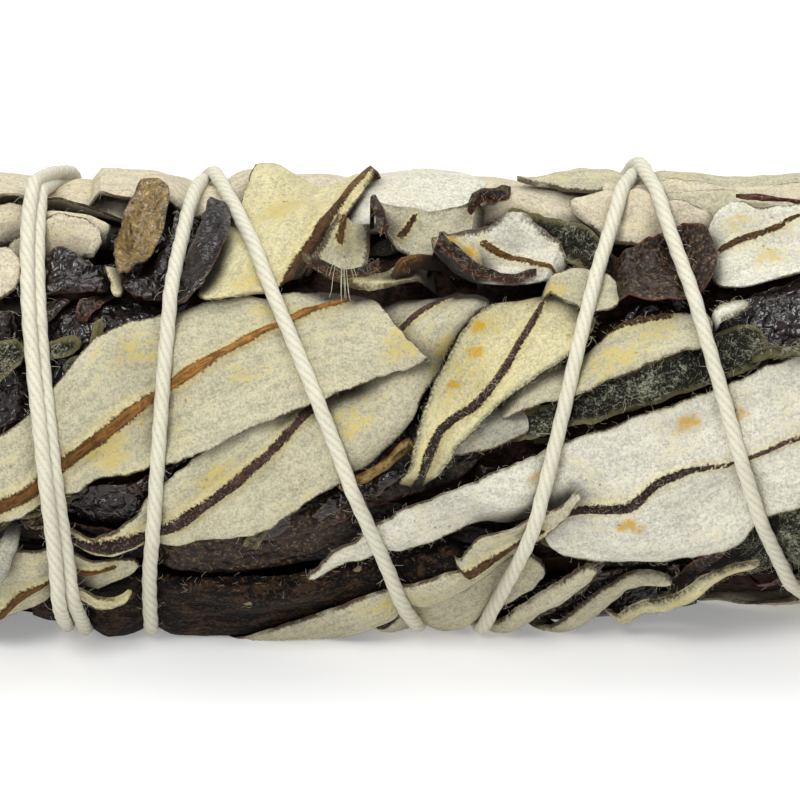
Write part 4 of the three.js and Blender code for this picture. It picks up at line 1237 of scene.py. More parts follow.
class Graph(Nodes):
    """A material's nodes."""

    def __init__(self, name: str) -> None:
        """Start a material with its shader and Object coordinates.

        Args:
            name: The material's name.
        """
        self.material = bpy.data.materials.new(name)
        self.material.use_nodes = True
        super().__init__(self.material.node_tree)
        self.shader = self.add("ShaderNodeBsdfPrincipled")
        self.add("ShaderNodeOutputMaterial", Surface=self.shader.outputs["BSDF"])
        self.place = self.add("ShaderNodeTexCoord").outputs["Object"]

    def set(self, name: str, value: Value) -> None:
        """Set or link one of the shader's inputs."""
        self.feed(self.shader.inputs[name], value)

    def dress(self, colour: Value, rough: Value, shine: float) -> None:
        """Set the shader's colour, roughness and shine."""
        for name, value in (("Base Color", colour), ("Roughness", rough), ("Specular IOR Level", shine)):
            self.set(name, value)

    def ramp(self, value: Value, low: float, high: float, start: float = 0.0, end: float = 1.0) -> Socket:
        """A smooth step between two limits.

        Args:
            value: What it follows.
            low: Where it starts.
            high: Where it ends.
            start: The result at its start.
            end: The result at its end.

        Returns:
            The result.
        """
        limits = {"From Min": low, "From Max": high, "To Min": start, "To Max": end}
        node = self.add("ShaderNodeMapRange", Value=value, **limits)
        node.interpolation_type = "SMOOTHSTEP"
        return node.outputs["Result"]

    def mix(self, share: Value, first: Value, second: Value, blend: str = "MIX") -> Socket:
        """Blend two colours.

        Args:
            share: How much of the second colour is taken.
            first: The first colour.
            second: The second colour.
            blend: How they are blended.

        Returns:
            The colour.
        """
        node = self.add("ShaderNodeMix")
        node.data_type = "RGBA"
        node.blend_type = blend
        for number, value in ((0, share), (6, first), (7, second)):
            self.feed(node.inputs[number], value)
        return node.outputs[2]

    def texture(
        self, place: Socket, scale: float, detail: float, rough: float = 0.5, warp: float = 0.0
    ) -> Socket:
        """Cloudy noise.

        Args:
            place: Where it is read.
            scale: How many bumps there are on a length of 1.
            detail: How many finer layers it has.
            rough: How strong the finer layers are.
            warp: How far it is drawn out of shape.

        Returns:
            Values from 0 to 1.
        """
        form = {"Scale": scale, "Detail": detail, "Roughness": rough, "Distortion": warp}
        return self.add("ShaderNodeTexNoise", Vector=place, **form).outputs["Fac"]

    def noise(self, size: float, detail: float = 3.0, rough: float = 0.6, warp: float = 0.0) -> Socket:
        """Cloudy noise in space, whose size is in millimetres."""
        return self.texture(self.place, 1 / (size * MM), detail, rough, warp)

    def streaks(self, size: float, stretch: Colour) -> Socket:
        """Cloudy noise in space that is drawn out along an axis."""
        mapping = self.add("ShaderNodeMapping", Vector=self.place, Scale=stretch)
        return self.texture(mapping.outputs[0], 1 / (size * MM), 4.0)

    def plane(self, first: Value, second: Value) -> Socket:
        """A place on a plane, from its two coordinates."""
        return self.add("ShaderNodeCombineXYZ", X=first, Y=second).outputs[0]

    def fibres(self, length: float, width: float) -> Socket:
        """Noise drawn out along the leaf.

        Args:
            length: Its size along the leaf, in millimetres.
            width: Its size across the leaf, in millimetres.

        Returns:
            Its values.
        """
        along = self.math("MULTIPLY", self.value("run"), 1 / length)
        across = self.math("MULTIPLY", self.value("side"), 1 / width)
        return self.texture(self.plane(along, across), 1.0, 4.0, 0.65)

    def sum(self, *parts: tuple[Value, float]) -> Socket:
        """Add up noises, each taken from its middle and weighted.

        Args:
            parts: The noises and their weights.

        Returns:
            The sum.
        """
        total = None
        for value, weight in parts:
            part = self.math("MULTIPLY", self.math("SUBTRACT", value, 0.5), weight)
            total = part if total is None else self.math("ADD", total, part)
        return total

    def value(self, name: str, output: str = "Fac") -> Socket:
        """Read what is stored at the mesh's corners.

        Args:
            name: The name it is stored under.
            output: The output that is read.

        Returns:
            Its values.
        """
        node = self.add("ShaderNodeAttribute")
        node.attribute_name = name
        return node.outputs[output]

    def tone(self) -> Socket:
        """The leaf's ground colour, stored at the mesh's corners."""
        return self.value("tone", "Color")

    def painted_shade(self, colour: Socket, share: float, gap_shade: Colour) -> Socket:
        """Paint shade into a colour where other leaves lie over it or close beside it."""
        return self.mix(self.math("MULTIPLY", self.value("shade"), share), colour, gap_shade)

    def bump(self, height: Value, depth: float, strength: float = 1.0) -> None:
        """Roughen the surface.

        Args:
            height: The relief, from 0 to 1.
            depth: Its depth in millimetres.
            strength: How much of it shows.
        """
        node = self.add("ShaderNodeBump", Height=height, Distance=depth * MM, Strength=strength)
        self.set("Normal", node.outputs[0])


@dataclass(frozen=True)
class PaleFelt:
    """The matted pale hair of a sage leaf's underside, with ribs, stains and dark ragged rims."""

    stain: Colour = srgb(200, 180, 96)
    faint: Colour = srgb(206, 193, 138)
    ochre: Colour = srgb(198, 152, 10)
    speck: Colour = srgb(120, 84, 46)
    rim: Colour = srgb(66, 48, 31)
    fringe_dark: Colour = srgb(86, 84, 64)
    fringe_pale: Colour = srgb(182, 178, 144)
    rib_light: Colour = srgb(168, 118, 60)
    rib_dark: Colour = srgb(80, 54, 50)
    rib_frost: Colour = srgb(160, 148, 130)
    # Colour of the painted shade where other leaves lie over or beside this one.
    gap_shade: Colour = srgb(34, 28, 22)

    def build(self) -> Material:
        """Make the material."""
        g = Graph("pale_felt")
        grain, mat, cloud = g.noise(0.17, 3, 0.8), g.noise(0.5, 4, 0.65, 0.5), g.noise(2.6, 5, 0.62, 0.4)
        fibre = g.fibres(2.4, 0.5)
        edge, rib = g.value("edge"), g.value("rib")
        woolly = g.math("ADD", g.sum((grain, 0.62), (mat, 0.24), (fibre, 0.3)), 0.5)
        # Darker where the felt's bump is low: partly the felt's own mottling, partly painted shade in its
        # hollows.
        colour = g.mix(1.0, g.tone(), g.ramp(woolly, 0.36, 0.62, 0.64, 1.14), "MULTIPLY")
        faint = g.math("ADD", cloud, g.sum((fibre, 1.0), (grain, 0.6)))
        colour = g.mix(g.ramp(faint, 0.5, 0.8, 0.0, 0.4), colour, self.faint)
        blotch = g.math("ADD", g.value("stain"), g.sum((fibre, 2.2), (mat, 2.8), (cloud, 1.4), (grain, 1.6)))
        colour = g.mix(g.ramp(blotch, 0.45, 1.3, 0.0, 0.75), colour, self.stain)
        spot = g.math("ADD", g.value("spot"), g.sum((grain, 1.6), (mat, 1.6)))
        colour = g.mix(g.ramp(spot, 0.42, 0.95, 0.0, 0.88), colour, self.ochre)
        fleck = g.ramp(g.noise(0.34, 2, 0.5), 0.66, 0.74)
        fleck = g.math("MULTIPLY", fleck, g.ramp(cloud, 0.42, 0.6, 0.12, 0.65))
        colour = g.mix(fleck, colour, self.speck)
        margin = g.math("ADD", rib, g.sum((grain, 3.0), (fibre, 3.0)))
        colour = g.mix(g.ramp(margin, 2.6, 1.0, 0.0, 0.35), colour, self.stain)
        colour = g.mix(self.on_rib(g, rib, woolly), colour, self.rib_colour(g, rib, grain))
        hairy = g.math("ADD", g.value("fuzz"), g.sum((grain, 0.7), (cloud, 0.5)))
        fringe = g.mix(g.ramp(grain, 0.42, 0.62), self.fringe_dark, self.fringe_pale)
        off_rib = g.math("MULTIPLY", g.ramp(hairy, 0.2, 0.6, 0.0, 0.85), g.ramp(rib, 1.4, 2.4))
        colour = g.mix(off_rib, colour, fringe)
        line = g.math("ADD", edge, g.sum((grain, 0.3), (mat, 0.1)))
        present = g.ramp(cloud, 0.38, 0.52, 0.15, 0.9)
        colour = g.mix(g.math("MULTIPLY", g.ramp(line, 0.15, 0.04), present), colour, self.rim)
        g.dress(g.painted_shade(colour, 0.93, self.gap_shade), 0.92, 0.12)
        g.set("Sheen Weight", 0.06)
        g.bump(woolly, 0.22, 0.9)
        return g.material

    @staticmethod
    def on_rib(g: Graph, rib: Socket, woolly: Socket) -> Socket:
        """Where the rib shows through the felt, from 0 to 1."""
        frayed = g.math("ADD", rib, g.math("MULTIPLY", g.math("SUBTRACT", woolly, 0.5), 2.2))
        return g.ramp(frayed, 1.15, 0.75)

    def rib_colour(self, g: Graph, rib: Value, grain: Value) -> Socket:
        """The rib's colour, streaked along it, lighter along its middle as a painted highlight, darker at its
        sides, partly its own colour and partly painted shade, and frosted with hair where it is dark.

        Args:
            g: The material's nodes.
            rib: Distance from the middle of the rib.
            grain: Fine noise.

        Returns:
            The colour.
        """
        place = g.plane(g.math("MULTIPLY", g.value("rib_run"), 0.9), g.math("MULTIPLY", rib, 3.0))
        colour = g.mix(g.value("rib_tone"), self.rib_light, self.rib_dark)
        light = g.ramp(g.texture(place, 1.0, 4.0, 0.7), 0.35, 0.68, 0.35, 1.15)
        colour = g.mix(1.0, colour, light, "MULTIPLY")
        colour = g.mix(1.0, colour, g.ramp(g.value("rib_run"), 6.0, 18.0, 0.42, 1.08), "MULTIPLY")
        # Lighter along the raised rib's middle, a painted highlight on its top; darker at its sides, partly
        # the rib's own colour and partly painted shade.
        colour = g.mix(1.0, colour, g.ramp(rib, 0.2, 1.0, 1.1, 0.4), "MULTIPLY")
        frosted = g.math("MULTIPLY", g.ramp(grain, 0.5, 0.7, 0.0, 0.38), g.value("rib_tone"))
        return g.mix(frosted, colour, self.rib_frost)


@dataclass(frozen=True)
class DarkLeaf:
    """The smooth dark upper side of a dried leaf, crinkled and a little glossy."""

    name: str = "dark_leaf"
    light: Colour = srgb(86, 60, 46)
    dust: Colour = srgb(150, 142, 120)
    rim: Colour = srgb(80, 58, 40)
    gloss: float = 0.2
    shine: float = 0.5
    dusty: float = 0.14
    dust_from: float = 0.58
    depth: float = 0.12
    crinkle: float = 0.6
    rib_light: Colour = srgb(132, 82, 40)
    rib_dark: Colour = srgb(62, 40, 34)
    # Colour of the painted shade where other leaves lie over or beside this one.
    gap_shade: Colour = (0.006, 0.005, 0.004)

    def build(self) -> Material:
        """Make the material."""
        g = Graph(self.name)
        crease, grain, fibre = g.noise(0.5, 4, 0.65, 0.6), g.noise(0.2, 3, 0.75), g.fibres(2.2, 0.35)
        level = g.math("ADD", g.sum((crease, 0.7), (fibre, 0.6), (grain, 0.3)), 0.5)
        colour = g.mix(1.0, g.tone(), g.ramp(level, 0.34, 0.62, self.depth, 1.1), "MULTIPLY")
        colour = g.mix(g.ramp(level, 0.58, 0.76, 0.0, 0.4), colour, self.light)
        speck = g.math("ADD", grain, g.sum((crease, 0.5)))
        dust = g.ramp(speck, self.dust_from, self.dust_from + 0.18, 0.0, self.dusty)
        colour = g.mix(dust, colour, self.dust)
        on_rib = g.ramp(g.value("rib"), 1.1, 0.8)
        colour = g.mix(on_rib, colour, g.mix(g.value("rib_tone"), self.rib_light, self.rib_dark))
        line = g.math("ADD", g.value("edge"), g.sum((grain, 0.4)))
        colour = g.mix(g.ramp(line, 0.16, 0.02, 0.0, 0.6), colour, self.rim)
        rough = g.ramp(grain, 0.3, 0.7, self.gloss - 0.04, self.gloss + 0.16)
        g.dress(g.painted_shade(colour, 0.9, self.gap_shade), rough, self.shine)
        g.bump(g.noise(self.crinkle, 1.5, 0.5, 0.5), 0.42, 1.0)
        return g.material


@dataclass(frozen=True)
class MattedHair:
    """A dark leaf under a mat of pale hair."""

    name: str
    ground: Colour
    hair: Colour
    rim: Colour
    cover: float
    rib: Colour = srgb(56, 38, 30)
    # Colour of the painted shade where other leaves lie over or beside this one.
    gap_shade: Colour = (0.008, 0.007, 0.005)

    def build(self) -> Material:
        """Make the material."""
        g = Graph(self.name)
        tuft, grain, cloud = g.noise(0.6, 4, 0.7, 1.0), g.noise(0.14, 3, 0.8), g.noise(2.2, 4, 0.55)
        level = g.math("ADD", g.sum((tuft, 0.5), (grain, 0.7), (cloud, 0.5)), 0.5)
        colour = g.mix(g.ramp(level, 0.5 - self.cover, 0.74 - self.cover), self.ground, self.hair)
        on_rib = g.ramp(g.value("rib"), 1.1, 0.8)
        colour = g.mix(on_rib, colour, self.rib)
        line = g.math("ADD", g.value("edge"), g.sum((grain, 1.0), (cloud, 1.0)))
        colour = g.mix(g.ramp(line, 0.4, 0.0, 0.0, 0.7), colour, self.rim)
        g.dress(g.painted_shade(colour, 0.88, self.gap_shade), 0.85, 0.15)
        g.bump(level, 0.35, 0.9)
        return g.material


@dataclass(frozen=True)
class Bark:
    """Smooth brown bark with fine streaks along it and small pale scars."""

    name: str = "bark"
    dark: Colour = srgb(10, 7, 6)
    light: Colour = srgb(72, 51, 34)
    scar: Colour = srgb(178, 152, 116)
    pith: Colour = srgb(206, 186, 146)
    pith_shade: Colour = (0.6, 0.55, 0.45)
    # Colour of the painted shade where other leaves lie over or beside this one.
    gap_shade: Colour = (0.010, 0.008, 0.006)

    def build(self) -> Material:
        """Make the material."""
        g = Graph(self.name)
        streak, grain = g.streaks(0.5, (0.35, 1.0, 1.0)), g.noise(0.2, 3, 0.6)
        mottle = g.math("ADD", streak, g.sum((grain, 0.8), (g.noise(1.4, 4, 0.7, 0.6), 1.2)))
        colour = g.mix(g.ramp(mottle, 0.4, 0.72), self.dark, self.light)
        colour = g.mix(g.math("MULTIPLY", g.ramp(grain, 0.58, 0.72), 0.2), colour, self.scar)
        colour = g.mix(g.ramp(g.value("spot"), 0.35, 0.6), colour, self.scar)
        darker = g.mix(1.0, self.pith, self.pith_shade, "MULTIPLY")
        colour = g.mix(g.value("cut"), colour, g.mix(g.ramp(grain, 0.4, 0.62), darker, self.pith))
        g.dress(g.painted_shade(colour, 0.85, self.gap_shade), 0.62, 0.12)
        g.bump(g.math("ADD", mottle, g.math("MULTIPLY", grain, 0.4)), 0.6, 1.0)
        return g.material


@dataclass(frozen=True)
class Cotton:
    """Twisted cotton string, paler on the plies than between them: partly the cotton's own grain, partly
    painted shade in the grooves.
    """

    ply: Colour = srgb(213, 210, 191)
    # Colour between the strands: partly the cotton's grain, partly painted shade of the grooves.
    between: Colour = srgb(190, 184, 160)
    strands: float = 6.0
    spacing: float = 0.8

    def build(self) -> Material:
        """Make the material."""
        g = Graph("cotton")
        grain = g.noise(0.13, 4, 0.7)
        angle = g.math("ARCTAN2", g.value("around_sine"), g.value("around_cosine"))
        run = g.math("MULTIPLY", g.value("along"), 2 * math.pi / (self.spacing * MM))
        strand = g.math("SINE", g.math("ADD", g.math("MULTIPLY", angle, self.strands), run))
        level = g.math("ADD", g.math("MULTIPLY", strand, 0.12), g.math("MULTIPLY", grain, 0.8))
        # Darker between the strands: partly the cotton's grain, partly painted shade in the grooves.
        g.dress(g.mix(g.ramp(level, 0.15, 0.5), self.between, self.ply), 0.9, 0.15)
        g.set("Sheen Weight", 0.1)
        g.bump(level, 0.06, 0.8)
        return g.material


@dataclass(frozen=True)
class Hair:
    """Loose single hairs and fibres."""

    name: str
    colour: Colour
    shade: Colour = (0.62, 0.58, 0.5)

    def build(self) -> Material:
        """Make the material."""
        g = Graph(self.name)
        light = g.ramp(g.noise(0.8, 2, 0.5), 0.35, 0.7)
        g.set("Base Color", g.mix(light, g.mix(1.0, self.colour, self.shade, "MULTIPLY"), self.colour))
        g.set("Roughness", 0.7)
        return g.material


class NodeTree(Nodes):
    """A Geometry Nodes tree in the making."""

    def __init__(self, name: str, sizes: dict[str, float], whole: dict[str, int]) -> None:
        """Start a tree with named inputs.

        Args:
            name: The tree's name.
            sizes: Inputs that are lengths or densities, with their values.
            whole: Inputs that are whole numbers, with their values.
        """
        super().__init__(bpy.data.node_groups.new(name, "GeometryNodeTree"))
        face = self.tree.interface
        face.new_socket("Geometry", in_out="INPUT", socket_type="NodeSocketGeometry")
        face.new_socket("Geometry", in_out="OUTPUT", socket_type="NodeSocketGeometry")
        self.values = {**sizes, **whole}
        for key in self.values:
            kind = "NodeSocketFloat" if key in sizes else "NodeSocketInt"
            face.new_socket(key, in_out="INPUT", socket_type=kind)
        face.new_socket("Material", in_out="INPUT", socket_type="NodeSocketMaterial")
        self.inputs = self.add("NodeGroupInput").outputs
        self.output = self.add("NodeGroupOutput").inputs["Geometry"]

    def store(self, geometry: Socket, name: str, value: Socket) -> Socket:
        """Keep a number at each point under a name."""
        node = self.add("GeometryNodeStoreNamedAttribute", Geometry=geometry, Name=name, Value=value)
        return node.outputs["Geometry"]

    def stored(self, name: str) -> Socket:
        """Read a number that is kept under a name."""
        return self.add("GeometryNodeInputNamedAttribute", Name=name).outputs["Attribute"]

    def random(self, low: float, high: float, seed: int) -> Socket:
        """A random number for each point.

        Args:
            low: The lowest.
            high: The highest.
            seed: Its seed.

        Returns:
            The number.
        """
        node = self.add("FunctionNodeRandomValue")
        node.data_type = "FLOAT"
        self.feed(node.inputs[2], low)
        self.feed(node.inputs[3], high)
        self.feed(node.inputs["Seed"], seed)
        return node.outputs[1]

    def scaled(self, size: Socket, x: float, z: float) -> Socket:
        """A point at shares of a size across and up."""
        shares = {"X": self.math("MULTIPLY", size, x), "Z": self.math("MULTIPLY", size, z)}
        return self.add("ShaderNodeCombineXYZ", **shares).outputs[0]

    def finish(self, geometry: Socket, beside: Socket | None = None) -> None:
        """End the tree in real meshes with their material.

        Args:
            geometry: What the tree has made.
            beside: What it stands on, kept as it is.
        """
        real = self.add("GeometryNodeRealizeInstances", Geometry=geometry).outputs[0]
        smooth = self.add("GeometryNodeSetShadeSmooth", Geometry=real).outputs[0]
        dressed = self.add("GeometryNodeSetMaterial", Geometry=smooth, Material=self.inputs["Material"])
        made = dressed.outputs[0]
        if beside is not None:
            join = self.add("GeometryNodeJoinGeometry")
            self.tree.links.new(made, join.inputs[0])
            self.tree.links.new(beside, join.inputs[0])
            made = join.outputs[0]
        self.feed(self.output, made)

    def apply(self, piece: Object, material: Material) -> None:
        """Run the tree on a piece and keep the result as its plain mesh.

        Args:
            piece: The object whose mesh is replaced.
            material: The finish of what the tree makes.
        """
        modifier = piece.modifiers.new(self.tree.name, "NODES")
        modifier.node_group = self.tree
        given = {**self.values, "Material": material}
        for item in self.tree.interface.items_tree:
            if item.in_out == "INPUT" and item.name in given:
                modifier[item.identifier] = given[item.name]
        graph = bpy.context.evaluated_depsgraph_get()
        made = piece.evaluated_get(graph)
        mesh = bpy.data.meshes.new_from_object(made, preserve_all_data_layers=True, depsgraph=graph)
        piece.modifiers.clear()
        old, piece.data = piece.data, mesh
        bpy.data.meshes.remove(old)


def fuzz_tree(name: str, density: float, length: float, thickness: float, seed: int) -> NodeTree:
    """A tree that grows short bent hairs where a mesh is marked for them.

    Args:
        name: The tree's name.
        density: Hairs on a square metre where the mark is 1.
        length: Length of a hair in metres.
        thickness: Radius of a hair in metres.
        seed: Seed of where they stand.

    Returns:
        The tree.
    """
    tree = NodeTree(name, {"Density": density, "Length": length, "Thickness": thickness}, {"Seed": seed})
    ground, reach = tree.inputs["Geometry"], tree.inputs["Length"]
    dense = tree.math("MULTIPLY", tree.stored("fuzz"), tree.inputs["Density"])
    spots = tree.add("GeometryNodeDistributePointsOnFaces", Mesh=ground, Density=dense)
    tree.feed(spots.inputs["Seed"], tree.inputs["Seed"])
    line = tree.add("GeometryNodeCurveQuadraticBezier", Resolution=3, Start=(0.0, 0.0, 0.0))
    tree.feed(line.inputs["Middle"], tree.scaled(reach, 0.2, 0.45))
    tree.feed(line.inputs["End"], tree.scaled(reach, 0.8, 0.5))
    ring = tree.add("GeometryNodeCurvePrimitiveCircle", Resolution=3, Radius=tree.inputs["Thickness"])
    hair = tree.add("GeometryNodeCurveToMesh", Curve=line.outputs[0], Profile_Curve=ring.outputs[0])
    spin = tree.add("ShaderNodeCombineXYZ", Z=tree.random(0.0, 2 * math.pi, 5))
    turned = tree.add("FunctionNodeRotateRotation")
    turned.rotation_space = "LOCAL"
    tree.feed(turned.inputs[0], spots.outputs["Rotation"])
    tree.feed(turned.inputs[1], tree.add("FunctionNodeEulerToRotation", Euler=spin.outputs[0]).outputs[0])
    placed = tree.add("GeometryNodeInstanceOnPoints", Points=spots.outputs["Points"])
    for key, socket in (("Instance", hair.outputs[0]), ("Rotation", turned.outputs[0])):
        tree.feed(placed.inputs[key], socket)
    tree.feed(placed.inputs["Scale"], tree.random(0.45, 1.3, 9))
    tree.finish(placed.outputs[0], ground)
    return tree


def string_tree(radius: float, step: float, pitch: float, relief: float, sides: int) -> NodeTree:
    """A tree that turns a line into three-ply twisted string.

    Args:
        radius: Radius of the string in metres.
        step: Length between its rings in metres.
        pitch: Length of one full twist in metres.
        relief: How far the plies stand out in metres.
        sides: Corners of each ring.

    Returns:
        The tree.
    """
    sizes = {"Radius": radius, "Step": step, "Pitch": pitch, "Relief": relief}
    tree = NodeTree("string_plies", sizes, {"Sides": sides})
    line = tree.add("GeometryNodeMeshToCurve", Mesh=tree.inputs["Geometry"])
    even = tree.add("GeometryNodeResampleCurve", Curve=line.outputs[0])
    even.mode = "LENGTH"
    tree.feed(even.inputs["Length"], tree.inputs["Step"])
    reach = tree.add("GeometryNodeSplineParameter")
    route = tree.store(even.outputs[0], "along", reach.outputs["Length"])
    ring = tree.add("GeometryNodeCurvePrimitiveCircle", Radius=tree.inputs["Radius"])
    tree.feed(ring.inputs["Resolution"], tree.inputs["Sides"])
    angle = tree.math("MULTIPLY", reach.outputs["Factor"], 2 * math.pi)
    profile = tree.store(ring.outputs[0], "around", angle)
    profile = tree.store(profile, "around_cosine", tree.math("COSINE", angle))
    profile = tree.store(profile, "around_sine", tree.math("SINE", angle))
    tube = tree.add("GeometryNodeCurveToMesh", Curve=route, Profile_Curve=profile, Fill_Caps=True)
    turns = tree.math("DIVIDE", tree.stored("along"), tree.inputs["Pitch"])
    twist = tree.math("MULTIPLY", turns, 2 * math.pi)
    lobes = tree.math("MULTIPLY", tree.math("ADD", tree.stored("around"), twist), PLIES)
    marked = tree.store(tube.outputs[0], "ply", tree.math("COSINE", lobes))
    out = tree.add("ShaderNodeVectorMath")
    out.operation = "SCALE"
    tree.feed(out.inputs[0], tree.add("GeometryNodeInputNormal").outputs[0])
    tree.feed(out.inputs["Scale"], tree.math("MULTIPLY", tree.stored("ply"), tree.inputs["Relief"]))
    shaped = tree.add("GeometryNodeSetPosition", Geometry=marked, Offset=out.outputs[0])
    tree.finish(shaped.outputs[0])
    return tree


def mesh_object(name: str, points: Array, faces: list, edges: list = ()) -> Object:
    """Put a mesh in the scene.

    Args:
        name: The piece's name.
        points: Corners in metres.
        faces: Faces, or none.
        edges: Edges where there are no faces.

    Returns:
        The object, at the origin.
    """
    mesh = bpy.data.meshes.new(name)
    mesh.from_pydata(points.tolist(), list(edges), faces)
    mesh.update()
    piece = bpy.data.objects.new(name, mesh)
    bpy.context.scene.collection.objects.link(piece)
    return piece


def keep_values(mesh: bpy.types.Mesh, values: dict[str, Array]) -> None:
    """Store a number at each corner of a mesh.

    Args:
        mesh: The mesh.
        values: The numbers by name.
    """
    for name, numbers in values.items():
        layer = mesh.attributes.new(name, "FLOAT", "POINT")
        layer.data.foreach_set("value", np.asarray(numbers, np.float32))


def hand_in(piece: Object, node: str) -> None:
    """Put a finished piece in the place of its solid.

    Args:
        piece: The piece.
        node: The solid it stands for.
    """
    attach(piece, "root")
    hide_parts(node)
    piece.data.calc_loop_triangles()
    LOG.info("%s: %d triangles", piece.name, len(piece.data.loop_triangles))


@dataclass(frozen=True)
class Tuft:
    """A tuft of long loose hairs that hangs from a leaf on the viewer's side."""

    bundle: Bundle
    root: Span = (-3.4, 34.5)
    tip: Span = (-3.3, 27.0)
    spread: Span = (0.8, 2.0)
    stand_off: float = 0.9
    radius: float = 0.022
    hairs: int = 11
    steps: int = 8
    seed: int = 5
    ring: tuple[Point, ...] = ((1, 0, 0), (-0.5, -0.5, 0.7), (-0.5, 0.5, -0.7))

    def patch(self, relief: Relief) -> Patch:
        """Make the hairs as thin three-sided tubes.

        Args:
            relief: The finished bunch.

        Returns:
            The mesh.
        """
        random = np.random.default_rng(self.seed)
        part = np.linspace(0, 1, self.steps)
        points, faces = [], []
        for hair in range(self.hairs):
            lean, drop = random.uniform(-1, 1, 2)
            x = self.root[0] + 0.2 * lean + (self.tip[0] - self.root[0] + self.spread[0] * lean) * part**1.4
            turn = self.root[1] + (self.tip[1] - self.root[1] + self.spread[1] * drop) * part
            height = relief.read(relief.widened(2), x, turn) + 0.15 + self.stand_off * np.sin(2.4 * part)
            path = self.bundle.points(x, turn, height)
            rings = np.stack([path + np.array(way) * self.radius * MM for way in self.ring], 1)
            sides = len(self.ring)
            faces += tube_faces(self.steps, sides, hair * self.steps * sides)
            points.append(rings.reshape(-1, 3))
        made = np.concatenate(points)
        return Patch(made, faces, Kind.HAIR, plain_values(len(made)), Tone.WHITE.value)


@dataclass(frozen=True)
class PackedEnds:
    """The leaf edges that show, one round another, at both ends of the bunch."""

    bundle: Bundle
    count: int = 90
    radius: Span = (1.0, 11.2)
    half_width: Span = (1.2, 3.6)
    out: Span = (-0.2, 1.2)
    slant: Span = (-0.45, 0.45)
    phase: Span = (0.0, 6.3)
    depth: float = 3.0
    thick: float = 0.32
    grid: tuple[int, int] = (6, 14)
    seed: int = 91
    looks: tuple[tuple[Kind, Tone], ...] = (
        (Kind.PALE, Tone.PALE), (Kind.DARK, Tone.BROWN), (Kind.PALE, Tone.BEIGE), (Kind.FUZZY, Tone.GREY),
        (Kind.PALE, Tone.CREAM), (Kind.DARK, Tone.DARK), (Kind.PALE, Tone.GREY),
    )

    def patches(self, sprig: int) -> list[Patch]:
        """Make the leaf edges that belong to one sprig.

        Args:
            sprig: The sprig's number.

        Returns:
            Their meshes.
        """
        made = []
        for end, way in ((self.bundle.core_start, -1), (self.bundle.core_end, 1)):
            random = np.random.default_rng(self.seed + way)
            for number in range(self.count):
                radius = math.sqrt(random.uniform(self.radius[0] ** 2, self.radius[1] ** 2))
                turn, half = random.uniform(0, 360), random.uniform(*self.half_width)
                out, slant, phase = (random.uniform(*span) for span in (self.out, self.slant, self.phase))
                if self.bundle.sprig_at(end, turn) == sprig:
                    look = self.looks[number % len(self.looks)]
                    made.append(self.leaf((end, turn, radius), way, half, out, slant, phase, look))
        return made

    def leaf(
        self, place: Point, way: int, half: float, out: float, slant: float, phase: float,
        look: tuple[Kind, Tone],
    ) -> Patch:
        """Make one leaf edge, bent round the bunch's axis.

        Args:
            place: Where it starts along the bunch, its turn and its distance from the axis.
            way: 1 at the leaf tips and -1 at the cut stems.
            half: Half its width.
            out: How far it stands out.
            slant: How fast it leaves the circle round the axis.
            phase: Where its waves start.
            look: Its kind and colour.

        Returns:
            The mesh.
        """
        along = np.linspace(0, 1, self.grid[0])[:, None]
        across = np.linspace(-1, 1, self.grid[1])[None, :]
        reach = self.depth + out - 0.9 * across**2 + 0.2 * np.sin(7 * across + phase)
        x = place[0] + way * (along * reach - self.depth)
        radius = place[2] + slant * half * across + 0.3 * np.sin(4 * across + phase) + 0 * x
        turn = place[1] + np.degrees(half * across / max(place[2], 2.0)) + 0 * x
        sides = [self.bundle.points(x, turn, radius + way * off * self.thick / 2) for off in (1, -1)]
        edge = np.minimum((1 - along) * reach, half * (1 - np.abs(across)))
        # Painted shade, darker farther in among the packed leaves.
        shade = np.clip(1.1 - 1.3 * along, 0, 1)
        grids = {"edge": edge, "run": x, "side": half * across, "shade": shade}
        known = {name: np.tile(np.broadcast_to(grid, x.shape).ravel(), 2) for name, grid in grids.items()}
        values = plain_values(2 * x.size, rib=Blade.FREE, **known)
        return Patch(np.concatenate(sides), shell_faces(*x.shape), look[0], values, look[1].value)


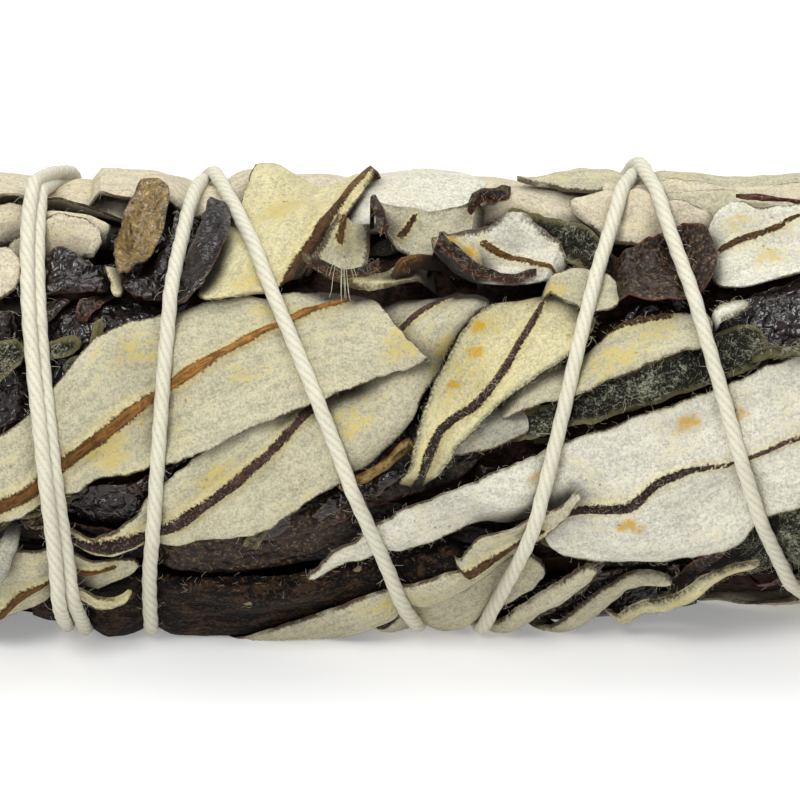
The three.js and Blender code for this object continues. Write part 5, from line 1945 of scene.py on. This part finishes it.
@dataclass
class Sprig:
    """The leaves of one sprig: its packed inner leaves and the blades that stand out of them."""

    number: int
    bundle: Bundle
    blades: list[Blade] = field(default_factory=list)
    tufts: list[Tuft] = field(default_factory=list)
    half_gap: float = 0.05
    steps: int = 130
    arc_steps: int = 26
    end_rings: int = 7
    end_crumple: float = 1.6
    dent: float = 0.35
    dent_size: float = 1.8
    sharp: float = 55.0
    seed: int = 900

    def core(self, relief: Relief) -> Patch:
        """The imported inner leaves: a twisted wedge with crumpled ends.

        Args:
            relief: The finished bunch.

        Returns:
            The mesh.
        """
        bundle, turn = self.bundle, self.bundle.sprig_turn
        noise = Noise(self.seed + self.number)
        rings = []
        for x in np.linspace(bundle.core_start, bundle.core_end, self.steps + 1):
            places = bundle.twist * x + turn * self.number + np.linspace(0, turn, self.arc_steps + 1)
            radius = bundle.core_radius(np.full_like(places, x), places)
            arc = places * bundle.mm_per_degree
            radius = radius - self.dent + self.dent * noise.at(np.full_like(arc, x), arc, self.dent_size)
            radius = radius + relief.read(relief.shift, np.full_like(places, x), places)
            inset = np.degrees(self.half_gap / radius) * np.linspace(1, -1, self.arc_steps + 1)
            apex = self.half_gap / math.sin(math.radians(turn / 2))
            middle = places[0] + turn / 2
            rings.append(bundle.points(x, np.append(middle, places + inset), np.append(apex, radius)))
        rings = self.closed_end(rings[0], noise, -1)[::-1] + rings + self.closed_end(rings[-1], noise, 1)
        faces = tube_faces(len(rings), self.arc_steps + 2)
        points = np.concatenate(rings)
        run, side = points[:, 0] / MM, points[:, 2] / MM
        far = {"edge": 9.0, "rib": Blade.FREE, "rib_run": 1.0, "rib_tone": 1.0}
        values = plain_values(len(points), run=run, side=side, **far)
        return Patch(points, faces, Kind.PACKED, values, Tone.BROWN.value)

    def closed_end(self, ring: Array, noise: Noise, way: int) -> list[Array]:
        """Rings that close an end of the wedge, crumpled like the ends of packed leaves.

        Args:
            ring: The last ring of the wedge.
            noise: Its noise.
            way: 1 at the leaf tips and -1 at the cut stems.

        Returns:
            Smaller and smaller rings.
        """
        centre = ring.mean(axis=0)
        made = []
        for step in range(1, self.end_rings + 1):
            smaller = centre + (ring - centre) * (1 - 0.97 * step / self.end_rings)
            depth = noise.at(smaller[:, 1] / MM, smaller[:, 2] / MM + 5 * step, 0.9) - 0.4
            smaller[:, 0] += way * depth * self.end_crumple * MM
            made.append(smaller)
        return made

    def build(self, relief: Relief, cover: Array, finishes: dict[Kind, Material]) -> Object:
        """Make the sprig's leaves as one mesh.

        Args:
            relief: The finished bunch.
            cover: The finished bunch's height, softened.
            finishes: A material for each kind of leaf.

        Returns:
            The piece.
        """
        patches = [self.core(relief), *(blade.patch(relief, cover) for blade in self.blades)]
        patches += [tuft.patch(relief) for tuft in self.tufts]
        patches += PackedEnds(self.bundle).patches(self.number)
        faces, slots, first = [], [], 0
        for patch in patches:
            faces += [[first + corner for corner in face] for face in patch.faces]
            slots += [patch.kind.value] * len(patch.faces)
            first += len(patch.points)
        points = np.concatenate([patch.points for patch in patches])
        piece = mesh_object(f"sprig_{self.number + 1}_foliage", points, faces)
        for kind in Kind:
            piece.data.materials.append(finishes[kind])
        piece.data.polygons.foreach_set("material_index", slots)
        for name in VALUE_NAMES:
            keep_values(piece.data, {name: np.concatenate([patch.values[name] for patch in patches])})
        tones = np.concatenate([np.tile((*p.tone, 1.0), (len(p.points), 1)) for p in patches])
        layer = piece.data.attributes.new("tone", "FLOAT_COLOR", "POINT")
        layer.data.foreach_set("color", tones.astype(np.float32).ravel())
        piece.data.shade_smooth()
        piece.data.set_sharp_from_angle(angle=math.radians(self.sharp))
        return piece


@dataclass(frozen=True)
class Stem:
    """One sprig's woody stem, whose cut end shows at one end of the bunch."""

    number: int
    bundle: Bundle
    radius: float = 1.8
    tip_radius: float = 0.9
    orbit: float = 6.4
    pinch: float = 1.2
    end: float = 18.0
    cut_rings: tuple[Span, ...] = ((0.05, 0.25), (0.35, 0.1), (0.7, 0.0), (0.94, -0.06))
    sharp: float = 50.0
    steps: int = 90
    sides: int = 22
    cut_back: float = 0.5
    stagger: float = 0.8
    seed: int = 700

    def build(self, finish: Material) -> Object:
        """Make the stem with a cut end.

        Args:
            finish: Its bark.

        Returns:
            The piece.
        """
        bundle, noise = self.bundle, Noise(self.seed + self.number)
        start = self.cut_back - bundle.length / 2 + (self.number % 3) * self.stagger
        x = np.linspace(start, self.end, self.steps + 1)
        share = (x - start) / (self.end - start)
        turn = bundle.twist * x + bundle.sprig_turn * (self.number + 0.5)
        path = bundle.points(x, turn, self.orbit - self.pinch * bundle.buttward(x)) / MM
        along = np.gradient(path, axis=0)
        along /= np.linalg.norm(along, axis=1)[:, None]
        side = np.cross(along, (0.0, 0.0, 1.0))
        side /= np.linalg.norm(side, axis=1)[:, None]
        lift = np.cross(side, along)
        angle = np.linspace(0, 2 * math.pi, self.sides, endpoint=False)
        rough = 1 + 0.05 * noise.at(x[:, None] / 6, np.cos(angle)[None, :] * 3, 0.6)
        radius = ((self.radius + (self.tip_radius - self.radius) * share)[:, None] * rough)[..., None]
        round_ = np.cos(angle)[None, :, None] * side[:, None] + np.sin(angle)[None, :, None] * lift[:, None]
        rings = list(path[:, None] + radius * round_)
        inner = [path[0] + (rings[0] - path[0]) * scale for scale, _ in self.cut_rings]
        for ring, (_, dent) in zip(inner, self.cut_rings):
            ring[:, 0] += dent
        rings = inner + rings
        faces = tube_faces(len(rings), self.sides, flipped=True)
        piece = mesh_object(f"sprig_{self.number + 1}_woody_stem", np.concatenate(rings) * MM, faces)
        level = np.zeros(len(rings) * self.sides)
        cut = level.copy()
        cut[: len(inner) * self.sides] = 1.0
        keep_values(piece.data, {"cut": cut, "shade": level, "spot": level})
        piece.data.materials.append(finish)
        piece.data.shade_smooth()
        piece.data.set_sharp_from_angle(angle=math.radians(self.sharp))
        return piece


@dataclass(frozen=True)
class Binding:
    """The cotton string: one length wound from a knot to the leaf tips and back."""

    bundle: Bundle
    radius: float = 0.5
    first_turn: float = 135.0
    steps: int = 96
    pressed: float = 0.3
    bite_depth: float = 0.55
    bite_width: float = 0.85
    over: float = 0.65
    floor: float = 0.06
    knot_scale: float = 0.45
    tails: tuple[Span, ...] = ((9.0, 22.0), (-4.6, -30.0))
    ply_radius: float = 0.44
    ply_step: float = 0.26
    ply_pitch: float = 4.8
    ply_relief: float = 0.022
    ply_sides: int = 12
    fibre_density: float = 1.3e6
    fibre_length: float = 0.7
    fibre_radius: float = 0.007
    fibre_floor: float = 1.2
    fibre_seed: int = 31
    pulls: tuple[int, int] = (500, 40)
    knot_off: float = 0.9
    knot_steps: int = 72
    tail_steps: int = 24

    def places(self) -> tuple[Array, Array]:
        """Millimetres along and degrees round at each step of the string."""
        count = (len(STRING_STATIONS) - 1) * self.steps // 4
        x = catmull(np.array(STRING_STATIONS)[:, None], np.linspace(0, 1, count + 1))[:, 0]
        return x, self.first_turn + np.arange(count + 1) * 360.0 / self.steps

    def route(self, relief: Relief) -> tuple[Array, Array, Array]:
        """The string's way round the leaves, taut, and over its own earlier turns.

        Args:
            relief: The finished bunch.

        Returns:
            Millimetres along, degrees round and millimetres from the axis.
        """
        x, turn = self.places()
        resting = relief.read(relief.widened(1), x, turn) + self.radius - self.pressed
        radius = self.taut(resting, self.pulls[0])
        for step in range(self.steps, len(x)):
            for earlier in range(step - self.steps, -1, -self.steps):
                apart = abs(x[earlier] - x[step]) / (2 * self.radius)
                if apart < 1:
                    lifted = radius[earlier] + 2 * self.radius * self.over * math.sqrt(1 - apart**2)
                    radius[step] = max(radius[step], lifted)
        radius = self.taut(radius, self.pulls[1])
        down = -np.sin(np.radians(turn + self.bundle.face_tilt))
        lowest = (self.bundle.axis_height - self.radius - self.floor) / np.maximum(down, 1e-6)
        return x, turn, np.where(down > 0, np.minimum(radius, lowest), radius)

    def taut(self, radius: Array, passes: int) -> Array:
        """Pull the string straight between the places that it lies on.

        Args:
            radius: How near to the axis it may be.
            passes: How often each step is pulled.

        Returns:
            The radius where it then is.
        """
        chord = math.cos(2 * math.pi / self.steps)
        for _ in range(passes):
            before, after = radius[:-2], radius[2:]
            straight = 2 * before * after * chord / (before + after)
            radius = np.concatenate((radius[:1], np.maximum(radius[1:-1], straight), radius[-1:]))
        return radius

    def knot(self, relief: Relief) -> list[Array]:
        """The overhand knot where the two ends meet, and its two tails.

        Args:
            relief: The finished bunch.

        Returns:
            Three lines of points.
        """
        bundle, cover = self.bundle, relief.widened(2)
        x, turn = STRING_STATIONS[0] + self.knot_off, self.first_turn
        seat = float(relief.read(cover, np.array(x), np.array(turn))) + 4 * self.radius
        middle, axis = bundle.points(x, turn, seat)[0], bundle.points(x, turn, 0.0)[0]
        outward = (middle - axis) / np.linalg.norm(middle - axis)
        along = np.array((1.0, 0.0, 0.0))
        around = np.cross(outward, along)
        t = np.linspace(0, 2 * math.pi, self.knot_steps + 1)[:, None]
        loop = (np.sin(t) + 2 * np.sin(2 * t)) * along + (np.cos(t) - 2 * np.cos(2 * t)) * around
        lines = [middle + self.knot_scale * MM * (loop - np.sin(3 * t) * outward)]
        for reach_x, reach_turn in self.tails:
            part = np.linspace(0, 1, self.tail_steps)
            tail_x, tail_turn = x + reach_x * part, turn + reach_turn * part
            resting = relief.read(cover, tail_x, tail_turn) + self.radius
            radius = np.maximum(resting, seat + (resting - seat) * np.minimum(1, part * 2))
            lines.append(bundle.points(tail_x, tail_turn, radius))
        return lines

    def build(self, relief: Relief, cotton: Material, fibre: Material) -> Object:
        """Make the string with its plies and loose fibres.

        Args:
            relief: The finished bunch.
            cotton: The string's finish.
            fibre: The loose fibres' finish.

        Returns:
            The piece.
        """
        lines = [self.bundle.points(*self.route(relief)), *self.knot(relief)]
        reach = np.linalg.norm(np.diff(lines[0], axis=0), axis=1).sum()
        LOG.info("string wound length %.0f mm", reach / MM)
        edges, first = [], 0
        for line in lines:
            edges += [(k, k + 1) for k in range(first, first + len(line) - 1)]
            first += len(line)
        piece = mesh_object("cotton_string", np.concatenate(lines), [], edges)
        sizes = (self.ply_radius, self.ply_step, self.ply_pitch, self.ply_relief)
        string_tree(*(size * MM for size in sizes), self.ply_sides).apply(piece, cotton)
        places = np.empty(3 * len(piece.data.vertices))
        piece.data.vertices.foreach_get("co", places)
        keep_values(piece.data, {"fuzz": places[2::3] > self.fibre_floor * MM})
        length, radius = self.fibre_length * MM, self.fibre_radius * MM
        fuzz_tree("string_fibres", self.fibre_density, length, radius, self.fibre_seed).apply(piece, fibre)
        return piece


@dataclass(frozen=True)
class Studio:
    """Plain floor, soft light and the camera."""

    bundle: Bundle
    distance: float = 0.900
    lens: float = 675.0
    elevation: float = 25.0
    floor_size: float = 6.0
    floor_colour: Colour = (0.7, 0.7, 0.7)
    floor_glow: float = 0.27
    sky: float = 0.55
    white: Colour = (1.0, 1.0, 1.0)
    lamp_aim: Point = (0.0, 0.0, 0.012)

    def floor(self) -> None:
        """Lay a plain white floor."""
        half = self.floor_size / 2
        corners = np.array([(-half, -half, 0), (half, -half, 0), (half, half, 0), (-half, half, 0)])
        floor = mesh_object("studio_floor", corners, [[0, 1, 2, 3]])
        g = Graph("floor_white")
        g.dress(self.floor_colour, 0.9, 0.1)
        g.set("Emission Color", self.white)
        g.set("Emission Strength", self.floor_glow)
        floor.data.materials.append(g.material)

    def lamp(self, name: str, place: Point, size: float, power: float) -> None:
        """Hang a soft square lamp that faces the bunch.

        Args:
            name: The lamp's name.
            place: Where it hangs, in metres.
            size: Its side in metres.
            power: Its power in watts.
        """
        data = bpy.data.lights.new(name, "AREA")
        data.size = size
        data.energy = power
        lamp = bpy.data.objects.new(name, data)
        lamp.location = place
        lamp.rotation_euler = (Vector(self.lamp_aim) - Vector(place)).to_track_quat("-Z", "Y").to_euler()
        bpy.context.scene.collection.objects.link(lamp)

    def build(self) -> None:
        """Set floor, light and camera."""
        self.floor()
        self.lamp("key_lamp", (-0.25, -0.45, 0.65), 0.35, 4.6)
        self.lamp("top_lamp", (0.2, 0.25, 0.7), 0.6, 3.0)
        scene = bpy.context.scene
        scene.world = bpy.data.worlds.new("studio")
        scene.world.use_nodes = True
        sky = scene.world.node_tree.nodes["Background"]
        sky.inputs["Color"].default_value = (*self.white, 1.0)
        sky.inputs["Strength"].default_value = self.sky
        scene.view_settings.view_transform = "Standard"
        data = bpy.data.cameras.new("camera")
        data.lens = self.lens
        data.clip_start = 0.01
        camera = bpy.data.objects.new("camera", data)
        rise = math.radians(self.elevation)
        back = Vector((0.0, -math.cos(rise), math.sin(rise)))
        aim = Vector((0.0, self.bundle.centre_shift * MM, self.bundle.axis_height * MM))
        camera.location = aim + back * self.distance
        camera.rotation_euler = (-back).to_track_quat("-Z", "Y").to_euler()
        scene.collection.objects.link(camera)
        scene.camera = camera


def leaf_finishes(bark: Material, hair: Material) -> dict[Kind, Material]:
    """Make a material for each kind of leaf.

    Args:
        bark: The stalk's finish.
        hair: The loose hairs' finish.

    Returns:
        The materials by kind.
    """
    fuzzy = MattedHair("grey_matted_hair", srgb(27, 28, 21), srgb(172, 172, 146), srgb(134, 126, 84), 0.02)
    tan = DarkLeaf("tan_leaf", srgb(166, 146, 78), srgb(176, 158, 100), srgb(52, 34, 32), 0.26, 0.6)
    brown = DarkLeaf("brown_leaf", srgb(104, 76, 46), srgb(150, 124, 80), srgb(104, 48, 32), 0.42, 0.3)
    # The packed inner leaves are coloured near black: partly their own dark brown, partly painted shade for
    # the deep gaps between the outer leaves.
    packed = DarkLeaf("packed_leaf", srgb(52, 42, 32), srgb(92, 82, 60), srgb(60, 46, 30), 0.75, 0.1)
    return {
        Kind.PALE: PaleFelt().build(),
        Kind.DARK: DarkLeaf().build(),
        Kind.FUZZY: fuzzy.build(),
        Kind.STALK: bark,
        Kind.TAN: replace(tan, dusty=0.3, dust_from=0.58, depth=0.4).build(),
        Kind.BROWN: replace(brown, dusty=0.55, dust_from=0.53).build(),
        Kind.HAIR: hair,
        Kind.PACKED: replace(packed, dusty=0.1).build(),
    }


def laid_blades(bundle: Bundle) -> list[Blade]:
    """Draw every leaf, in the order in which they are laid.

    Args:
        bundle: The bunch they lie on.

    Returns:
        The blades.
    """
    behind = Scraps(90, (-40.0, 42.0), (95.0, 265.0), (3.0, 9.0), (1.0, 2.4), seed=78)
    ranks = Ranks()
    outer = [tapered(drawn) for drawn in OUTER_LEAVES]
    # Each layer has the seed of its first leaf and the mm between the corners of its meshes.
    layers = (
        (700, 0.4, behind.draw(bundle)),
        (100, 0.5, ranks.draw(bundle) + ranks.tips(bundle)),
        (300, 0.3, outer[:UNDER_LEAVES]),
        (500, 0.4, Scraps().draw(bundle)),
        (400, 0.3, outer[UNDER_LEAVES:]),
    )
    blades = []
    for seed, spacing, leaves in layers:
        for number, leaf in enumerate(leaves):
            drawn, sprig = leaf if isinstance(leaf, tuple) else (leaf, None)
            blades.append(Blade(drawn, bundle, seed + number, spacing, sprig))
    return blades


def main() -> None:
    """Build the bunch in order and report each piece."""
    logging.basicConfig(level=logging.INFO, format="%(name)s %(message)s")
    bundle = Bundle()
    relief = Relief(bundle)
    blades = laid_blades(bundle)
    for blade in blades:
        blade.settle(relief)
    relief.press(bundle)
    binding = Binding(bundle)
    relief.bite(*binding.places(), binding.bite_depth, binding.bite_width)
    for blade in blades:
        blade.top = blade.top + relief.read(relief.shift, blade.x, blade.turn)
    # The softened height of the bunch, which the painted shade of the leaves is read against.
    cover = relief.softened(relief.widened(1), 3)
    bark = Bark().build()
    hair = Hair("leaf_hair", srgb(206, 202, 178)).build()
    finishes = leaf_finishes(bark, hair)
    fuzz = fuzz_tree("leaf_hairs", HAIR_DENSITY, HAIR_LENGTH * MM, HAIR_RADIUS * MM, HAIR_SEED)
    tuft = Tuft(bundle)
    for number in range(bundle.sprigs):
        own = [blade for blade in blades if blade.sprig == number]
        tufts = [tuft] if bundle.sprig_at(*tuft.root) == number else []
        foliage = Sprig(number, bundle, own, tufts).build(relief, cover, finishes)
        fuzz.apply(foliage, hair)
        hand_in(foliage, f"sprig_{number + 1}_leaves")
        hand_in(Stem(number, bundle).build(bark), f"sprig_{number + 1}_stem")
    fibre = Hair("cotton_fibre", srgb(236, 232, 218)).build()
    hand_in(binding.build(relief, Cotton().build(), fibre), "string")
    Studio(bundle).build()


if __name__ == "__main__":
    main()
